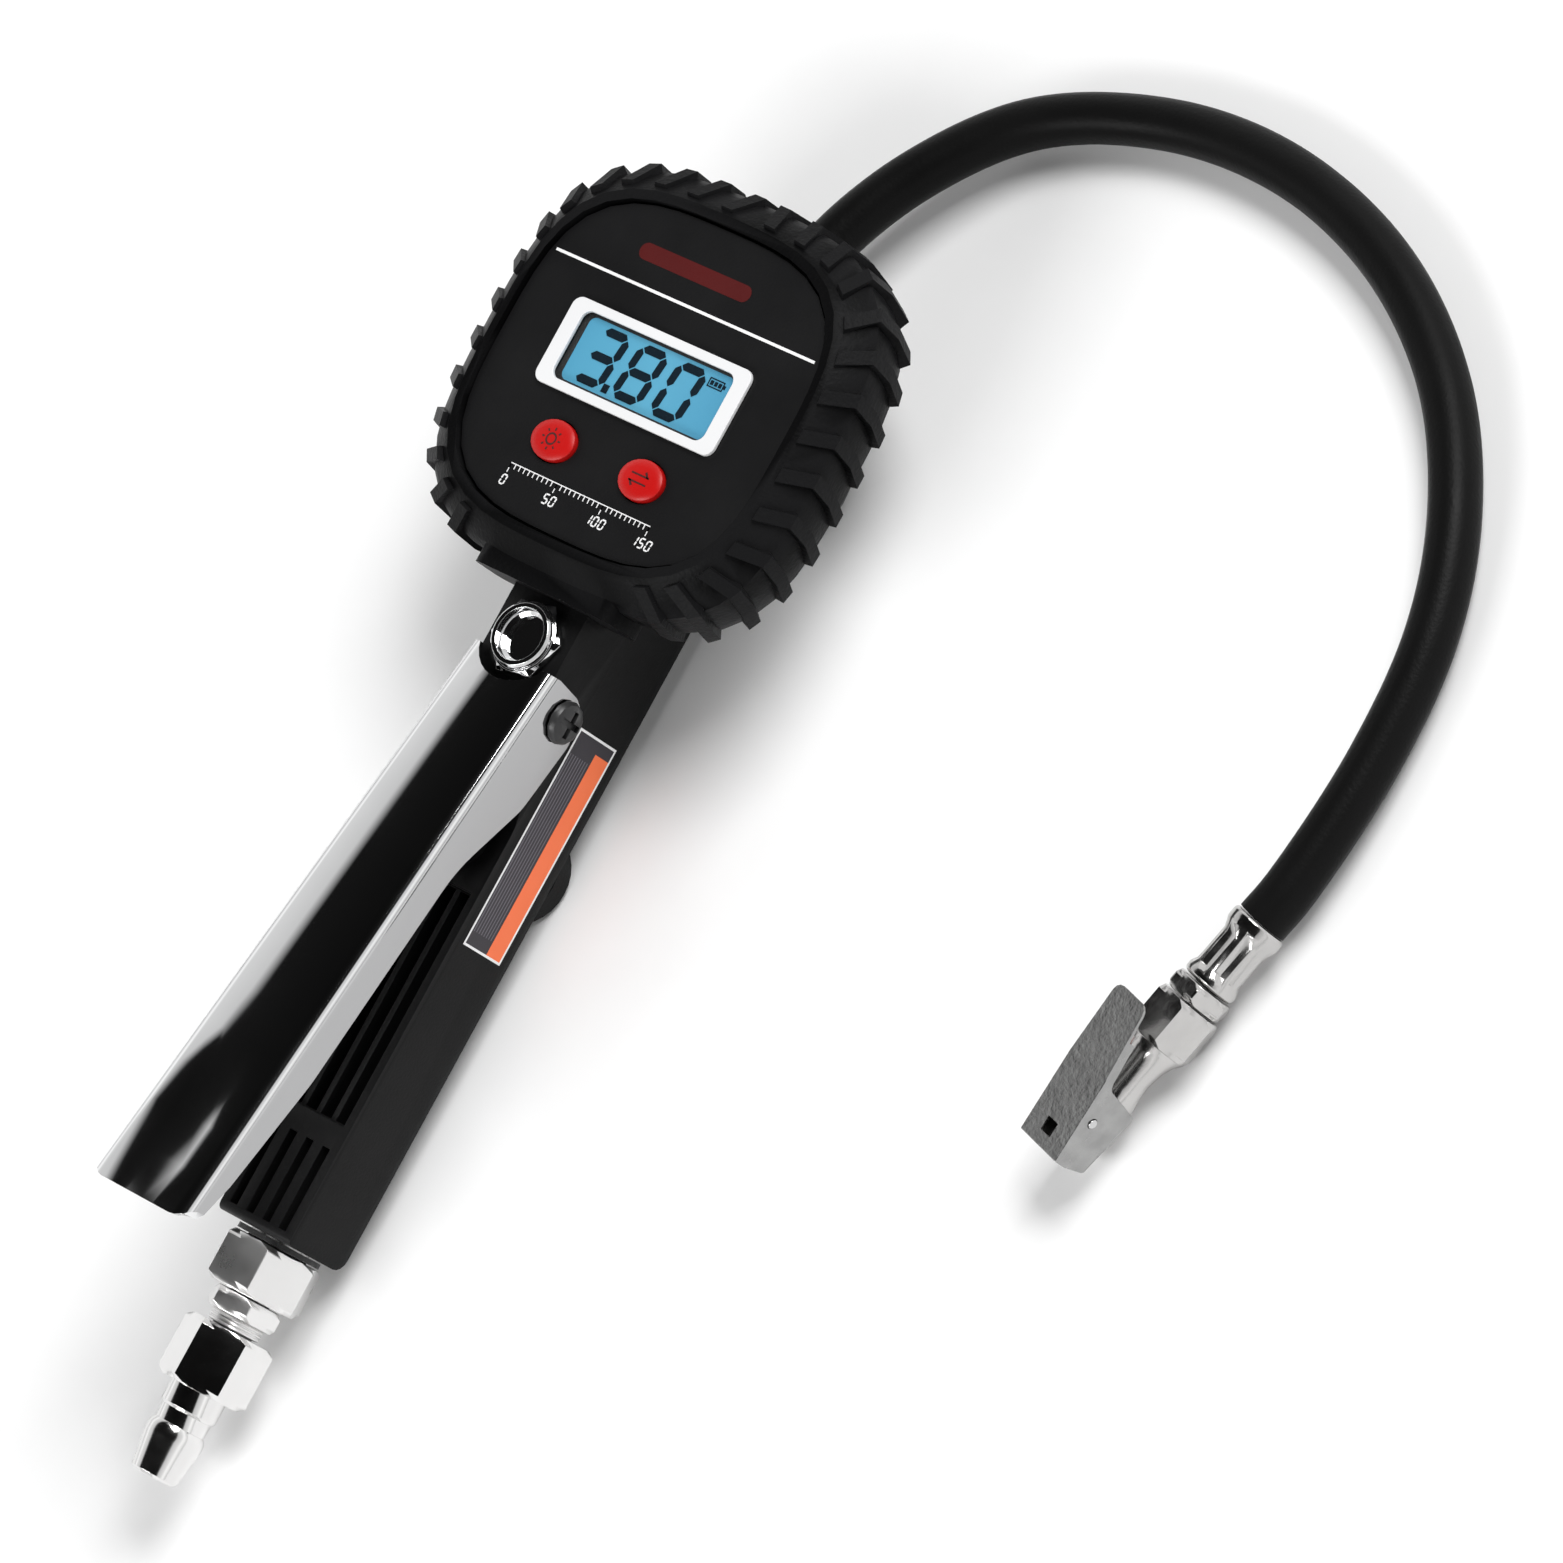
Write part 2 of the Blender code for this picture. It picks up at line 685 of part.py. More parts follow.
def tube(name, points, diameter, material, resolution):
    """A closed round tube along points."""
    curve = bpy.data.curves.new(name, "CURVE")
    curve.dimensions = "3D"
    curve.bevel_depth = diameter / 2
    curve.bevel_resolution = resolution
    curve.use_fill_caps = True
    spline = curve.splines.new("POLY")
    spline.points.add(len(points) - 1)
    for point, place in zip(spline.points, points):
        point.co = (*place, 1.0)
    shape = bpy.data.objects.new(name + "_path", curve)
    bpy.context.scene.collection.objects.link(shape)
    view = bpy.context.evaluated_depsgraph_get()
    mesh = bpy.data.meshes.new_from_object(shape.evaluated_get(view))
    bpy.data.objects.remove(shape, do_unlink=True)
    bpy.data.curves.remove(curve)
    work = bmesh.new()
    work.from_mesh(mesh)
    bmesh.ops.remove_doubles(work, verts=work.verts, dist=0.000001)
    bmesh.ops.recalc_face_normals(work, faces=work.faces)
    work.to_mesh(mesh)
    work.free()
    mesh.name = name
    item = add_part(name, mesh, material)
    smooth(item, 50.0)
    return item


def least_turn_gap(points, wire, points_a_turn):
    """Least clear space between a coil's turns, measured on its centre line."""
    least = None
    for index, place in enumerate(points):
        for other in points[index + points_a_turn // 2:]:
            clear = (Vector(place) - Vector(other)).length - wire
            least = clear if least is None else min(least, clear)
    return least


def helix(radius, low, high, turns, points_a_turn):
    """Centre line of a coil about Z."""
    count = turns * points_a_turn
    points = []
    for step in range(count + 1):
        angle = 2 * math.pi * step / points_a_turn
        height = low + (high - low) * step / count
        points.append((radius * math.cos(angle), radius * math.sin(angle), height))
    return points


def lever_line(y):
    """Height of the lever's outer sheet at rest."""
    return LEVER_TOP_Z + (LEVER_TOP_Y - y) * LEVER_SLOPE


def make_handle(material):
    """One moulded grip with its rib channel, vent slots, valve chamber and air ways."""
    corners = [
        (HANDLE_BOTTOM_Y, HANDLE_BACK_Z, HANDLE_CORNER),
        (SPINE_TOP_Y, HANDLE_BACK_Z, HANDLE_EDGE),
        (SPINE_TOP_Y, SPINE_FRONT_Z, 0.0),
        (NECK_TOP_Y, SPINE_FRONT_Z, 0.0),
        (NECK_TOP_Y, NECK_FRONT_Z, 0.0),
        (NECK_LOW_Y, NECK_FRONT_Z, 0.0040),
        (GRIP_TOP_Y, GRIP_FRONT_Z, 0.0120),
        (HANDLE_BOTTOM_Y, GRIP_FRONT_Z, 0.0015),
    ]
    half = HANDLE_WIDTH / 2
    handle = prism("handle_body", [rounded(corners)], -half, half, SIDE_ON, material)
    bevel(handle, HANDLE_EDGE, 2, 60.0)

    boss = turned_cutter("guide_boss", rod_profile(GUIDE_BOSS_OD / 2, AXIS_Z, GUIDE_BOSS_TOP_Z), FINE)
    boolean(handle, at_xy(boss, 0.0, VALVE_Y, SPIN), "UNION")

    groove_span = GROOVE_PITCH * (GROOVE_COUNT - 1) + GROOVE_WIDTH
    side = groove_span / 2 + CHANNEL_MARGIN
    channel = [((-side, GROOVE_LOW_Y - CHANNEL_MARGIN, GRIP_FRONT_Z - CHANNEL_DEPTH),
                (side, GROOVE_TOP_Y + CHANNEL_MARGIN, GRIP_FRONT_Z + PAST))]
    boolean(handle, boxes_cutter("rib_channel", channel))
    grooves = []
    slots = []
    for index in range(GROOVE_COUNT):
        across = index - (GROOVE_COUNT - 1) / 2
        x = across * GROOVE_PITCH
        grooves.append(((x - GROOVE_WIDTH / 2, GROOVE_LOW_Y, GROOVE_FLOOR_Z),
                        (x + GROOVE_WIDTH / 2, GROOVE_TOP_Y, GRIP_FRONT_Z + PAST)))
        x = across * SLOT_PITCH
        slots.append(((x - SLOT_WIDTH / 2, SLOT_LOW_Y, GRIP_FRONT_Z - SLOT_DEPTH),
                      (x + SLOT_WIDTH / 2, SLOT_TOP_Y, GRIP_FRONT_Z + PAST)))
    boolean(handle, boxes_cutter("rib_grooves", grooves))
    boolean(handle, boxes_cutter("vent_slots", slots))

    inlet = [
        (0.0, VALVE_Y),
        (AIR_BORE / 2, VALVE_Y),
        (AIR_BORE / 2, NUT_TOP_Y + INLET_SPIGOT_LENGTH + GAP),
        (SPIGOT_SOCKET / 2, NUT_TOP_Y + INLET_SPIGOT_LENGTH + GAP),
        (SPIGOT_SOCKET / 2, HANDLE_BOTTOM_Y - PAST),
        (0.0, HANDLE_BOTTOM_Y - PAST),
    ]
    boolean(handle, along_y(turned_cutter("inlet_way", inlet), 0.0, AXIS_Z))

    chamber = [
        (0.0, GUIDE_BOSS_TOP_Z + PAST),
        (GUIDE_BUSH_OD / 2 + GAP, GUIDE_BOSS_TOP_Z + PAST),
        (GUIDE_BUSH_OD / 2 + GAP, GUIDE_BUSH_LOW_Z - GAP),
        (SEAT_BORE / 2, GUIDE_BUSH_LOW_Z - GAP),
        (SEAT_BORE / 2, SEAT_Z),
        (CHAMBER_BORE / 2, SEAT_Z),
        (CHAMBER_BORE / 2, HANDLE_BACK_Z + REAR_SEAL_THICKNESS + GAP),
        (REAR_SEAL_OD / 2 + GAP, HANDLE_BACK_Z + REAR_SEAL_THICKNESS + GAP),
        (REAR_SEAL_OD / 2 + GAP, HANDLE_BACK_Z - PAST),
        (0.0, HANDLE_BACK_Z - PAST),
    ]
    boolean(handle, at_xy(turned_cutter("valve_chamber", chamber), 0.0, VALVE_Y))

    outlet_low = SPINE_TOP_Y - OUTLET_SPIGOT_LENGTH - GAP
    start = Vector((0.0, VALVE_Y, SEAT_Z + AIR_BORE / 2))
    end = Vector((0.0, outlet_low + PAST, AXIS_Z))
    run = end - start
    slant = turned_cutter("slant_way", rod_profile(AIR_BORE / 2 - 0.0005, 0.0, run.length), SMALL)
    slant.rotation_euler = run.to_track_quat("Z", "Y").to_euler()
    slant.location = start
    boolean(handle, slant)
    socket = rod_profile(OUTLET_SPIGOT_OD / 2 + THREAD_GAP, outlet_low, SPINE_TOP_Y + PAST)
    boolean(handle, along_y(turned_cutter("outlet_socket", socket), 0.0, AXIS_Z))
    port = rod_profile(SENSOR_STEM_OD / 2 + GAP, AXIS_Z, SPINE_FRONT_Z + PAST)
    boolean(handle, at_xy(turned_cutter("sensor_port", port, SMALL), 0.0, LCD_Y))

    vent_low = NECK_FRONT_Z - VENT_SPIGOT_LENGTH
    vent = rod_profile(VENT_SPIGOT_OD / 2 + THREAD_GAP, vent_low, NECK_FRONT_Z + PAST)
    boolean(handle, at_xy(turned_cutter("vent_socket", vent), 0.0, VENT_Y))
    pivot = rod_profile(PIVOT_HOLE / 2, -HANDLE_WIDTH, HANDLE_WIDTH)
    boolean(handle, along_x(turned_cutter("pivot_hole", pivot, SMALL), PIVOT_Y, PIVOT_Z))
    return handle


def make_inlet(chrome, rubber, steel_mesh):
    """Hex nut, filter, double nipple and quick-connect plug, in line with the grip."""
    seal_top = HANDLE_BOTTOM_Y - GAP
    seal = [
        (INLET_SEAL_OD / 2, seal_top),
        (INLET_SEAL_OD / 2, seal_top - INLET_SEAL),
        (SPIGOT_SOCKET / 2, seal_top - INLET_SEAL),
        (SPIGOT_SOCKET / 2, seal_top),
    ]
    along_y(turned("inlet_seal", seal, rubber, ROUND, True), 0.0, AXIS_Z)

    nut_end = NUT_TOP_Y + INLET_SPIGOT_LENGTH
    socket_top = NIPPLE_TOP_Y + NIPPLE_SPIGOT_LENGTH + GAP + FILTER_THICKNESS + GAP
    nut = [(nut_end, circle(INLET_SPIGOT_OD / 2)), (NUT_TOP_Y, circle(INLET_SPIGOT_OD / 2))]
    nut += nut_levels(INLET_NUT_AF, NUT_TOP_Y, NUT_LOW_Y)
    nut += [
        (NUT_LOW_Y, circle(NIPPLE_SOCKET / 2)),
        (socket_top, circle(NIPPLE_SOCKET / 2)),
        (socket_top, circle(AIR_BORE / 2)),
        (nut_end, circle(AIR_BORE / 2)),
    ]
    along_y(ring_stack("inlet_nut", nut, chrome), 0.0, AXIS_Z)

    filter_low = NIPPLE_TOP_Y + NIPPLE_SPIGOT_LENGTH + GAP
    disc = rod_profile(NIPPLE_SPIGOT_OD / 2, filter_low, filter_low + FILTER_THICKNESS)
    along_y(turned("inlet_filter", disc, steel_mesh), 0.0, AXIS_Z)

    hex_low = NIPPLE_TOP_Y - NIPPLE_HEX_LENGTH
    high_end = NIPPLE_TOP_Y + NIPPLE_SPIGOT_LENGTH
    low_end = NIPPLE_LOW_Y - NIPPLE_SPIGOT_LENGTH
    nipple = [(high_end, circle(NIPPLE_SPIGOT_OD / 2)), (NIPPLE_TOP_Y, circle(NIPPLE_SPIGOT_OD / 2))]
    nipple += nut_levels(NIPPLE_HEX_AF, NIPPLE_TOP_Y, hex_low, math.radians(15))
    nipple += [
        (hex_low, circle(NIPPLE_NECK_OD / 2)),
        (NIPPLE_LOW_Y, circle(NIPPLE_NECK_OD / 2)),
        (NIPPLE_LOW_Y, circle(NIPPLE_SPIGOT_OD / 2)),
        (low_end, circle(NIPPLE_SPIGOT_OD / 2)),
        (low_end, circle(NIPPLE_BORE / 2)),
        (high_end, circle(NIPPLE_BORE / 2)),
    ]
    along_y(ring_stack("inlet_nipple", nipple, chrome), 0.0, AXIS_Z)

    hex_low = PLUG_TOP_Y - PLUG_HEX_LENGTH
    collar_low = hex_low - PLUG_COLLAR_LENGTH
    groove_low = collar_low - PLUG_GROOVE_LENGTH
    tip = groove_low - PLUG_HEAD_LENGTH
    edge = 0.0006
    plug = nut_levels(PLUG_HEX_AF, PLUG_TOP_Y, hex_low, math.radians(30))
    for radius, height in (
        (PLUG_COLLAR_OD / 2, hex_low),
        (PLUG_COLLAR_OD / 2, collar_low + edge),
        (PLUG_COLLAR_OD / 2 - edge, collar_low),
        (PLUG_GROOVE_OD / 2, collar_low),
        (PLUG_GROOVE_OD / 2, groove_low),
        (PLUG_HEAD_OD / 2 - edge, groove_low),
        (PLUG_HEAD_OD / 2, groove_low - 2 * edge),
        (PLUG_HEAD_OD / 2, groove_low - 5 * edge),
        (PLUG_TIP_OD / 2, tip + edge),
        (PLUG_TIP_OD / 2 - edge, tip),
        (PLUG_BORE / 2, tip),
        (PLUG_BORE / 2, low_end - GAP),
        (NIPPLE_SOCKET / 2, low_end - GAP),
        (NIPPLE_SOCKET / 2, PLUG_TOP_Y),
    ):
        plug.append((height, circle(radius)))
    along_y(ring_stack("quick_plug", plug, chrome), 0.0, AXIS_Z)


def make_valve(black, brass, steel, rubber, spring_steel):
    """Poppet valve that the lever opens by pushing its stem into the grip."""
    cap_radius = REAR_CAP_OD / 2
    edge = 0.0012
    spigot_radius = CHAMBER_BORE / 2 - GAP
    spring_pocket = SPRING_OD / 2 + GAP
    cap = [
        (spring_pocket, REAR_CAP_TOP_Z + REAR_CAP_SPIGOT),
        (spigot_radius, REAR_CAP_TOP_Z + REAR_CAP_SPIGOT),
        (spigot_radius, REAR_CAP_TOP_Z),
        (cap_radius, REAR_CAP_TOP_Z),
        (cap_radius, edge),
        (cap_radius - edge, 0.0),
        (0.0, 0.0),
    ]
    floor = [(0.0, REAR_CAP_WALL), (spring_pocket, REAR_CAP_WALL)]
    at_xy(turned("valve_rear_cap", floor + cap, black, FINE), 0.0, VALVE_Y)

    ring_low = REAR_CAP_TOP_Z + GAP
    ring = [
        (REAR_SEAL_OD / 2, ring_low + REAR_SEAL_THICKNESS),
        (REAR_SEAL_OD / 2, ring_low),
        (CHAMBER_BORE / 2, ring_low),
        (CHAMBER_BORE / 2, ring_low + REAR_SEAL_THICKNESS),
    ]
    at_xy(turned("rear_cap_seal", ring, rubber, ROUND, True), 0.0, VALVE_Y)

    stem_radius = STEM_OD / 2
    dome = [(stem_radius * math.sin(a), STEM_TOP_Z - stem_radius + stem_radius * math.cos(a))
            for a in (0.0, math.radians(35), math.radians(70), math.radians(90))]
    pilot = SPRING_OD / 2 - SPRING_WIRE - GAP
    stem = dome + [
        (stem_radius, POPPET_TOP_Z),
        (POPPET_OD / 2, POPPET_TOP_Z),
        (POPPET_OD / 2, POPPET_LOW_Z),
        (pilot, POPPET_LOW_Z),
        (pilot, POPPET_LOW_Z - STEM_PILOT_LENGTH),
        (0.0, POPPET_LOW_Z - STEM_PILOT_LENGTH),
    ]
    at_xy(turned("valve_stem", stem, steel), 0.0, VALVE_Y)

    washer_low = POPPET_TOP_Z + GAP
    washer = [
        (POPPET_OD / 2 - GAP, washer_low + VALVE_SEAL_THICKNESS),
        (POPPET_OD / 2 - GAP, washer_low),
        (stem_radius + GAP, washer_low),
        (stem_radius + GAP, washer_low + VALVE_SEAL_THICKNESS),
    ]
    at_xy(turned("valve_seal", washer, rubber, ROUND, True), 0.0, VALVE_Y)

    bush = [
        (GUIDE_BUSH_OD / 2, GUIDE_BOSS_TOP_Z),
        (GUIDE_BUSH_OD / 2, GUIDE_BUSH_LOW_Z),
        (stem_radius + RUN_GAP, GUIDE_BUSH_LOW_Z),
        (stem_radius + RUN_GAP, GUIDE_BOSS_TOP_Z),
    ]
    at_xy(turned("stem_guide_bush", bush, brass, ROUND, True), 0.0, VALVE_Y)

    low = REAR_CAP_WALL + GAP + SPRING_WIRE / 2
    high = POPPET_LOW_Z - GAP - SPRING_WIRE / 2
    coil = helix(SPRING_OD / 2 - SPRING_WIRE / 2, low, high, SPRING_TURNS, SPRING_POINTS)
    print("valve spring, least gap between turns (mm):",
          round(1000 * least_turn_gap(coil, SPRING_WIRE, SPRING_POINTS), 3))
    at_xy(tube("valve_spring", coil, SPRING_WIRE, spring_steel, 1), 0.0, VALVE_Y)


def make_vent(chrome):
    """Hexagon plug with a hollow round head that closes the neck's service port."""
    low = NECK_FRONT_Z + GAP
    hex_top = low + VENT_HEX_HEIGHT
    top = hex_top + VENT_RING_HEIGHT
    bottom = NECK_FRONT_Z - VENT_SPIGOT_LENGTH + GAP
    plug = []
    for radius, height in (
        (VENT_RECESS_BORE / 2 - 0.0008, top - VENT_RECESS_DEPTH),
        (VENT_RECESS_BORE / 2, top - VENT_RECESS_DEPTH + 0.0006),
        (VENT_RECESS_BORE / 2, top),
        (VENT_RING_OD / 2 - 0.0005, top),
        (VENT_RING_OD / 2, top - 0.0005),
        (VENT_RING_OD / 2, hex_top),
    ):
        plug.append((height, circle(radius)))
    plug += nut_levels(VENT_HEX_AF, hex_top, low, math.radians(10))
    plug += [(low, circle(VENT_SPIGOT_OD / 2)), (bottom, circle(VENT_SPIGOT_OD / 2))]
    at_xy(ring_stack("vent_plug", plug, chrome, False, 36), 0.0, VENT_Y)


def lever_section(y):
    """Outer side of the pressed channel at one place, from the left skirt over to the right."""
    along = (LEVER_TOP_Y - y) / (LEVER_TOP_Y - LEVER_END_Y)
    half = (LEVER_TOP_WIDTH + (LEVER_END_WIDTH - LEVER_TOP_WIDTH) * along) / 2
    dish = max(0.0, math.sin(math.pi * min(1.0, max(0.0, (along - 0.72) / 0.30))))
    crown = LEVER_CROWN - LEVER_DISH * dish
    top = lever_line(y)
    right = [(half, top - LEVER_SKIRT), (half, top - LEVER_CORNER)]
    for step in (1, 2, 3):
        angle = math.radians(30 * step)
        corner_x = half - LEVER_CORNER * (1 - math.cos(angle))
        corner_z = top - LEVER_CORNER * (1 - math.sin(angle))
        right.append((corner_x, corner_z))
    for share in (0.5, 0.2):
        right.append(((half - LEVER_CORNER) * share, top + crown * (1 - share * share)))
    left = [(-x, z) for x, z in right]
    return [(x, y, z) for x, z in left + right[::-1]]


def make_lever(chrome):
    """Pressed sheet channel with two ears on the pivot screw."""
    stations = [LEVER_TOP_Y + PAST]
    count = 14
    for step in range(count + 1):
        stations.append(LEVER_TOP_Y + (LEVER_END_Y - LEVER_TOP_Y) * step / count)
    mesh = bpy.data.meshes.new("trigger_lever")
    work = bmesh.new()
    rows = [[work.verts.new(place) for place in lever_section(y)] for y in stations]
    for upper, lower in zip(rows, rows[1:]):
        for index in range(len(upper) - 1):
            work.faces.new((upper[index], lower[index], lower[index + 1], upper[index + 1]))
    work.to_mesh(mesh)
    work.free()
    lever = add_part("trigger_lever", mesh, chrome)
    sheet = lever.modifiers.new("sheet", "SOLIDIFY")
    sheet.thickness = LEVER_SHEET
    sheet.offset = -1.0
    sheet.use_even_offset = True

    flange = LEVER_FLANGE
    ear_low = PIVOT_Z - LEVER_EAR
    tip = LEVER_END_Y + LEVER_TIP_RUN
    full = LEVER_END_Y + LEVER_FLANGE_RUN
    ear_start = PIVOT_Y - LEVER_EAR_START
    outline = [
        (LEVER_END_Y + 0.0001, LEVER_END_Z + LEVER_SKIRT, 0.0),
        (LEVER_END_Y + 0.0001, LEVER_END_Z - LEVER_FLANGE_END, 0.0015),
        (tip, lever_line(tip) - 0.7 * flange, LEVER_TIP_RUN),
        (full, lever_line(full) - flange, 0.030),
        (ear_start, lever_line(ear_start) - flange, 0.030),
        (PIVOT_Y - LEVER_EAR_RUN, ear_low + 0.0035, 0.012),
        (PIVOT_Y - 0.004, ear_low, 0.004),
        (PIVOT_Y + LEVER_EAR * 0.55, ear_low, 0.003),
        (PIVOT_Y + LEVER_EAR, PIVOT_Z - 0.001, 0.003),
        (LEVER_TOP_Y, lever_line(LEVER_TOP_Y) - 0.003, 0.0),
        (LEVER_TOP_Y, LEVER_TOP_Z + LEVER_SKIRT, 0.0),
    ]
    wide = LEVER_END_WIDTH
    boolean(lever, prism_cutter("lever_side", [rounded(outline)], -wide, wide, SIDE_ON), "INTERSECT")
    half = LEVER_END_WIDTH / 2 + PAST
    end_half = LEVER_END_WIDTH / 2 + 0.0002
    plan = [
        (-end_half, LEVER_END_Y, LEVER_PLAN_CORNER),
        (end_half, LEVER_END_Y, LEVER_PLAN_CORNER),
        (half, LEVER_TOP_Y + PAST, 0.0),
        (-half, LEVER_TOP_Y + PAST, 0.0),
    ]
    above = LEVER_END_Z + LEVER_SKIRT
    boolean(lever, prism_cutter("lever_plan", [rounded(plan)], 0.0, above, PLAN), "INTERSECT")
    notch = VENT_HEX_AF / 2 / math.cos(math.pi / 6) + 4 * GAP
    notch_rod = rod_profile(notch, PIVOT_Z, LEVER_END_Z)
    boolean(lever, at_xy(turned_cutter("lever_notch", notch_rod, FINE), 0.0, VENT_Y))
    holes = rod_profile(PIVOT_HOLE / 2, -LEVER_END_WIDTH, LEVER_END_WIDTH)
    boolean(lever, along_x(turned_cutter("lever_holes", holes, SMALL), PIVOT_Y, PIVOT_Z))
    put_origin(lever, (0.0, PIVOT_Y, PIVOT_Z))


def make_pivot(black):
    """Cross-head screw through both ears and the neck, with its nut."""
    along = (LEVER_TOP_Y - (PIVOT_Y - PIVOT_HEAD_OD / 2)) / (LEVER_TOP_Y - LEVER_END_Y)
    ear = (LEVER_TOP_WIDTH + (LEVER_END_WIDTH - LEVER_TOP_WIDTH) * along) / 2
    seat = ear + GAP
    top = seat + PIVOT_HEAD_HEIGHT
    radius = PIVOT_HEAD_OD / 2
    screw_profile = [
        (0.0, top),
        (0.6 * radius, top),
        (0.9 * radius, top - 0.3 * PIVOT_HEAD_HEIGHT),
        (radius, top - 0.7 * PIVOT_HEAD_HEIGHT),
        (radius, seat),
        (PIVOT_OD / 2, seat),
        (PIVOT_OD / 2, -seat - PIVOT_NUT_HEIGHT + GAP),
        (0.0, -seat - PIVOT_NUT_HEIGHT + GAP),
    ]
    pin = along_x(turned("pivot_screw", screw_profile, black, SMALL), PIVOT_Y, PIVOT_Z)
    reach = 0.62 * radius
    low_x = top - DRIVER_DEPTH
    slots = (("driver_slot_a", reach, DRIVER_SLOT / 2), ("driver_slot_b", DRIVER_SLOT / 2, reach))
    for name, across_y, across_z in slots:
        low = (low_x, PIVOT_Y - across_y, PIVOT_Z - across_z)
        high = (top + PAST, PIVOT_Y + across_y, PIVOT_Z + across_z)
        boolean(pin, box_cutter(name, low, high))
    hole = [(PIVOT_HOLE / 2 * math.cos(a), PIVOT_HOLE / 2 * math.sin(a))
            for a in (2 * math.pi * step / SMALL for step in range(SMALL))]
    nut = prism("pivot_nut", [hexagon(PIVOT_NUT_AF), hole], -seat - PIVOT_NUT_HEIGHT, -seat, PLAN, black)
    along_x(nut, PIVOT_Y, PIVOT_Z)


def lug_spots():
    """Evenly spaced places round the boot's ridge, with the outward and upward ways at each."""
    ring = [Vector(place) for place in squircle(BOOT_HALF_X, BOOT_HALF_Y, 720)]
    lengths = [0.0]
    for index, place in enumerate(ring):
        lengths.append(lengths[-1] + (ring[(index + 1) % len(ring)] - place).length)
    quarter = next(i for i, place in enumerate(ring) if place.x <= 0.0)
    spots = []
    for number in range(LUG_COUNT):
        wanted = (lengths[quarter] + lengths[-1] * number / LUG_COUNT) % lengths[-1]
        index = next(i for i, run in enumerate(lengths) if run >= wanted) % len(ring)
        along = (ring[(index + 1) % len(ring)] - ring[index - 1]).normalized()
        outward = Vector((along.y, -along.x))
        place = ring[index]
        if place.y < GAUGE_Y and abs(place.x) < SADDLE_WIDTH / 2 + LUG_WIDTH / 2:
            continue
        spots.append((place, outward, along if place.x > 0 else -along))
    return spots


def lug_mesh(name):
    """Chevron bars: up over the front bevel to the ridge, then down and back over the side."""
    path = (
        (-0.0052, BOOT_FRONT_Z - 0.0012, -0.0014, (0.62, 0.78)),
        (-0.0002, BOOT_RIDGE_Z + 0.0008, 0.0010, (0.93, 0.36)),
        (0.0000, BOOT_RIDGE_Z - 0.0055, -0.0002, (1.0, 0.0)),
        (-0.0014, BOOT_BACK_Z + 0.0006, -0.0024, (1.0, -0.1)),
    )
    mesh = bpy.data.meshes.new(name)
    work = bmesh.new()
    for place, outward, up in lug_spots():
        rows = []
        for radial, z, shift, (lean_out, lean_up) in path:
            middle = place + outward * radial + up * shift
            row = []
            for side, height in ((-1, -LUG_ROOT), (1, -LUG_ROOT), (1, LUG_HEIGHT), (-1, LUG_HEIGHT)):
                taper = LUG_WIDTH / 2 * (1.0 if height < 0 else 0.78)
                flat = middle + up * (side * taper) + outward * (height * lean_out)
                row.append(work.verts.new((flat.x, flat.y, z + height * lean_up)))
            rows.append(row)
        for first, second in zip(rows, rows[1:]):
            for index in range(4):
                after = (index + 1) % 4
                work.faces.new((first[index], first[after], second[after], second[index]))
        work.faces.new(list(reversed(rows[0])))
        work.faces.new(rows[-1])
    bmesh.ops.recalc_face_normals(work, faces=work.faces)
    work.to_mesh(mesh)
    work.free()
    return mesh


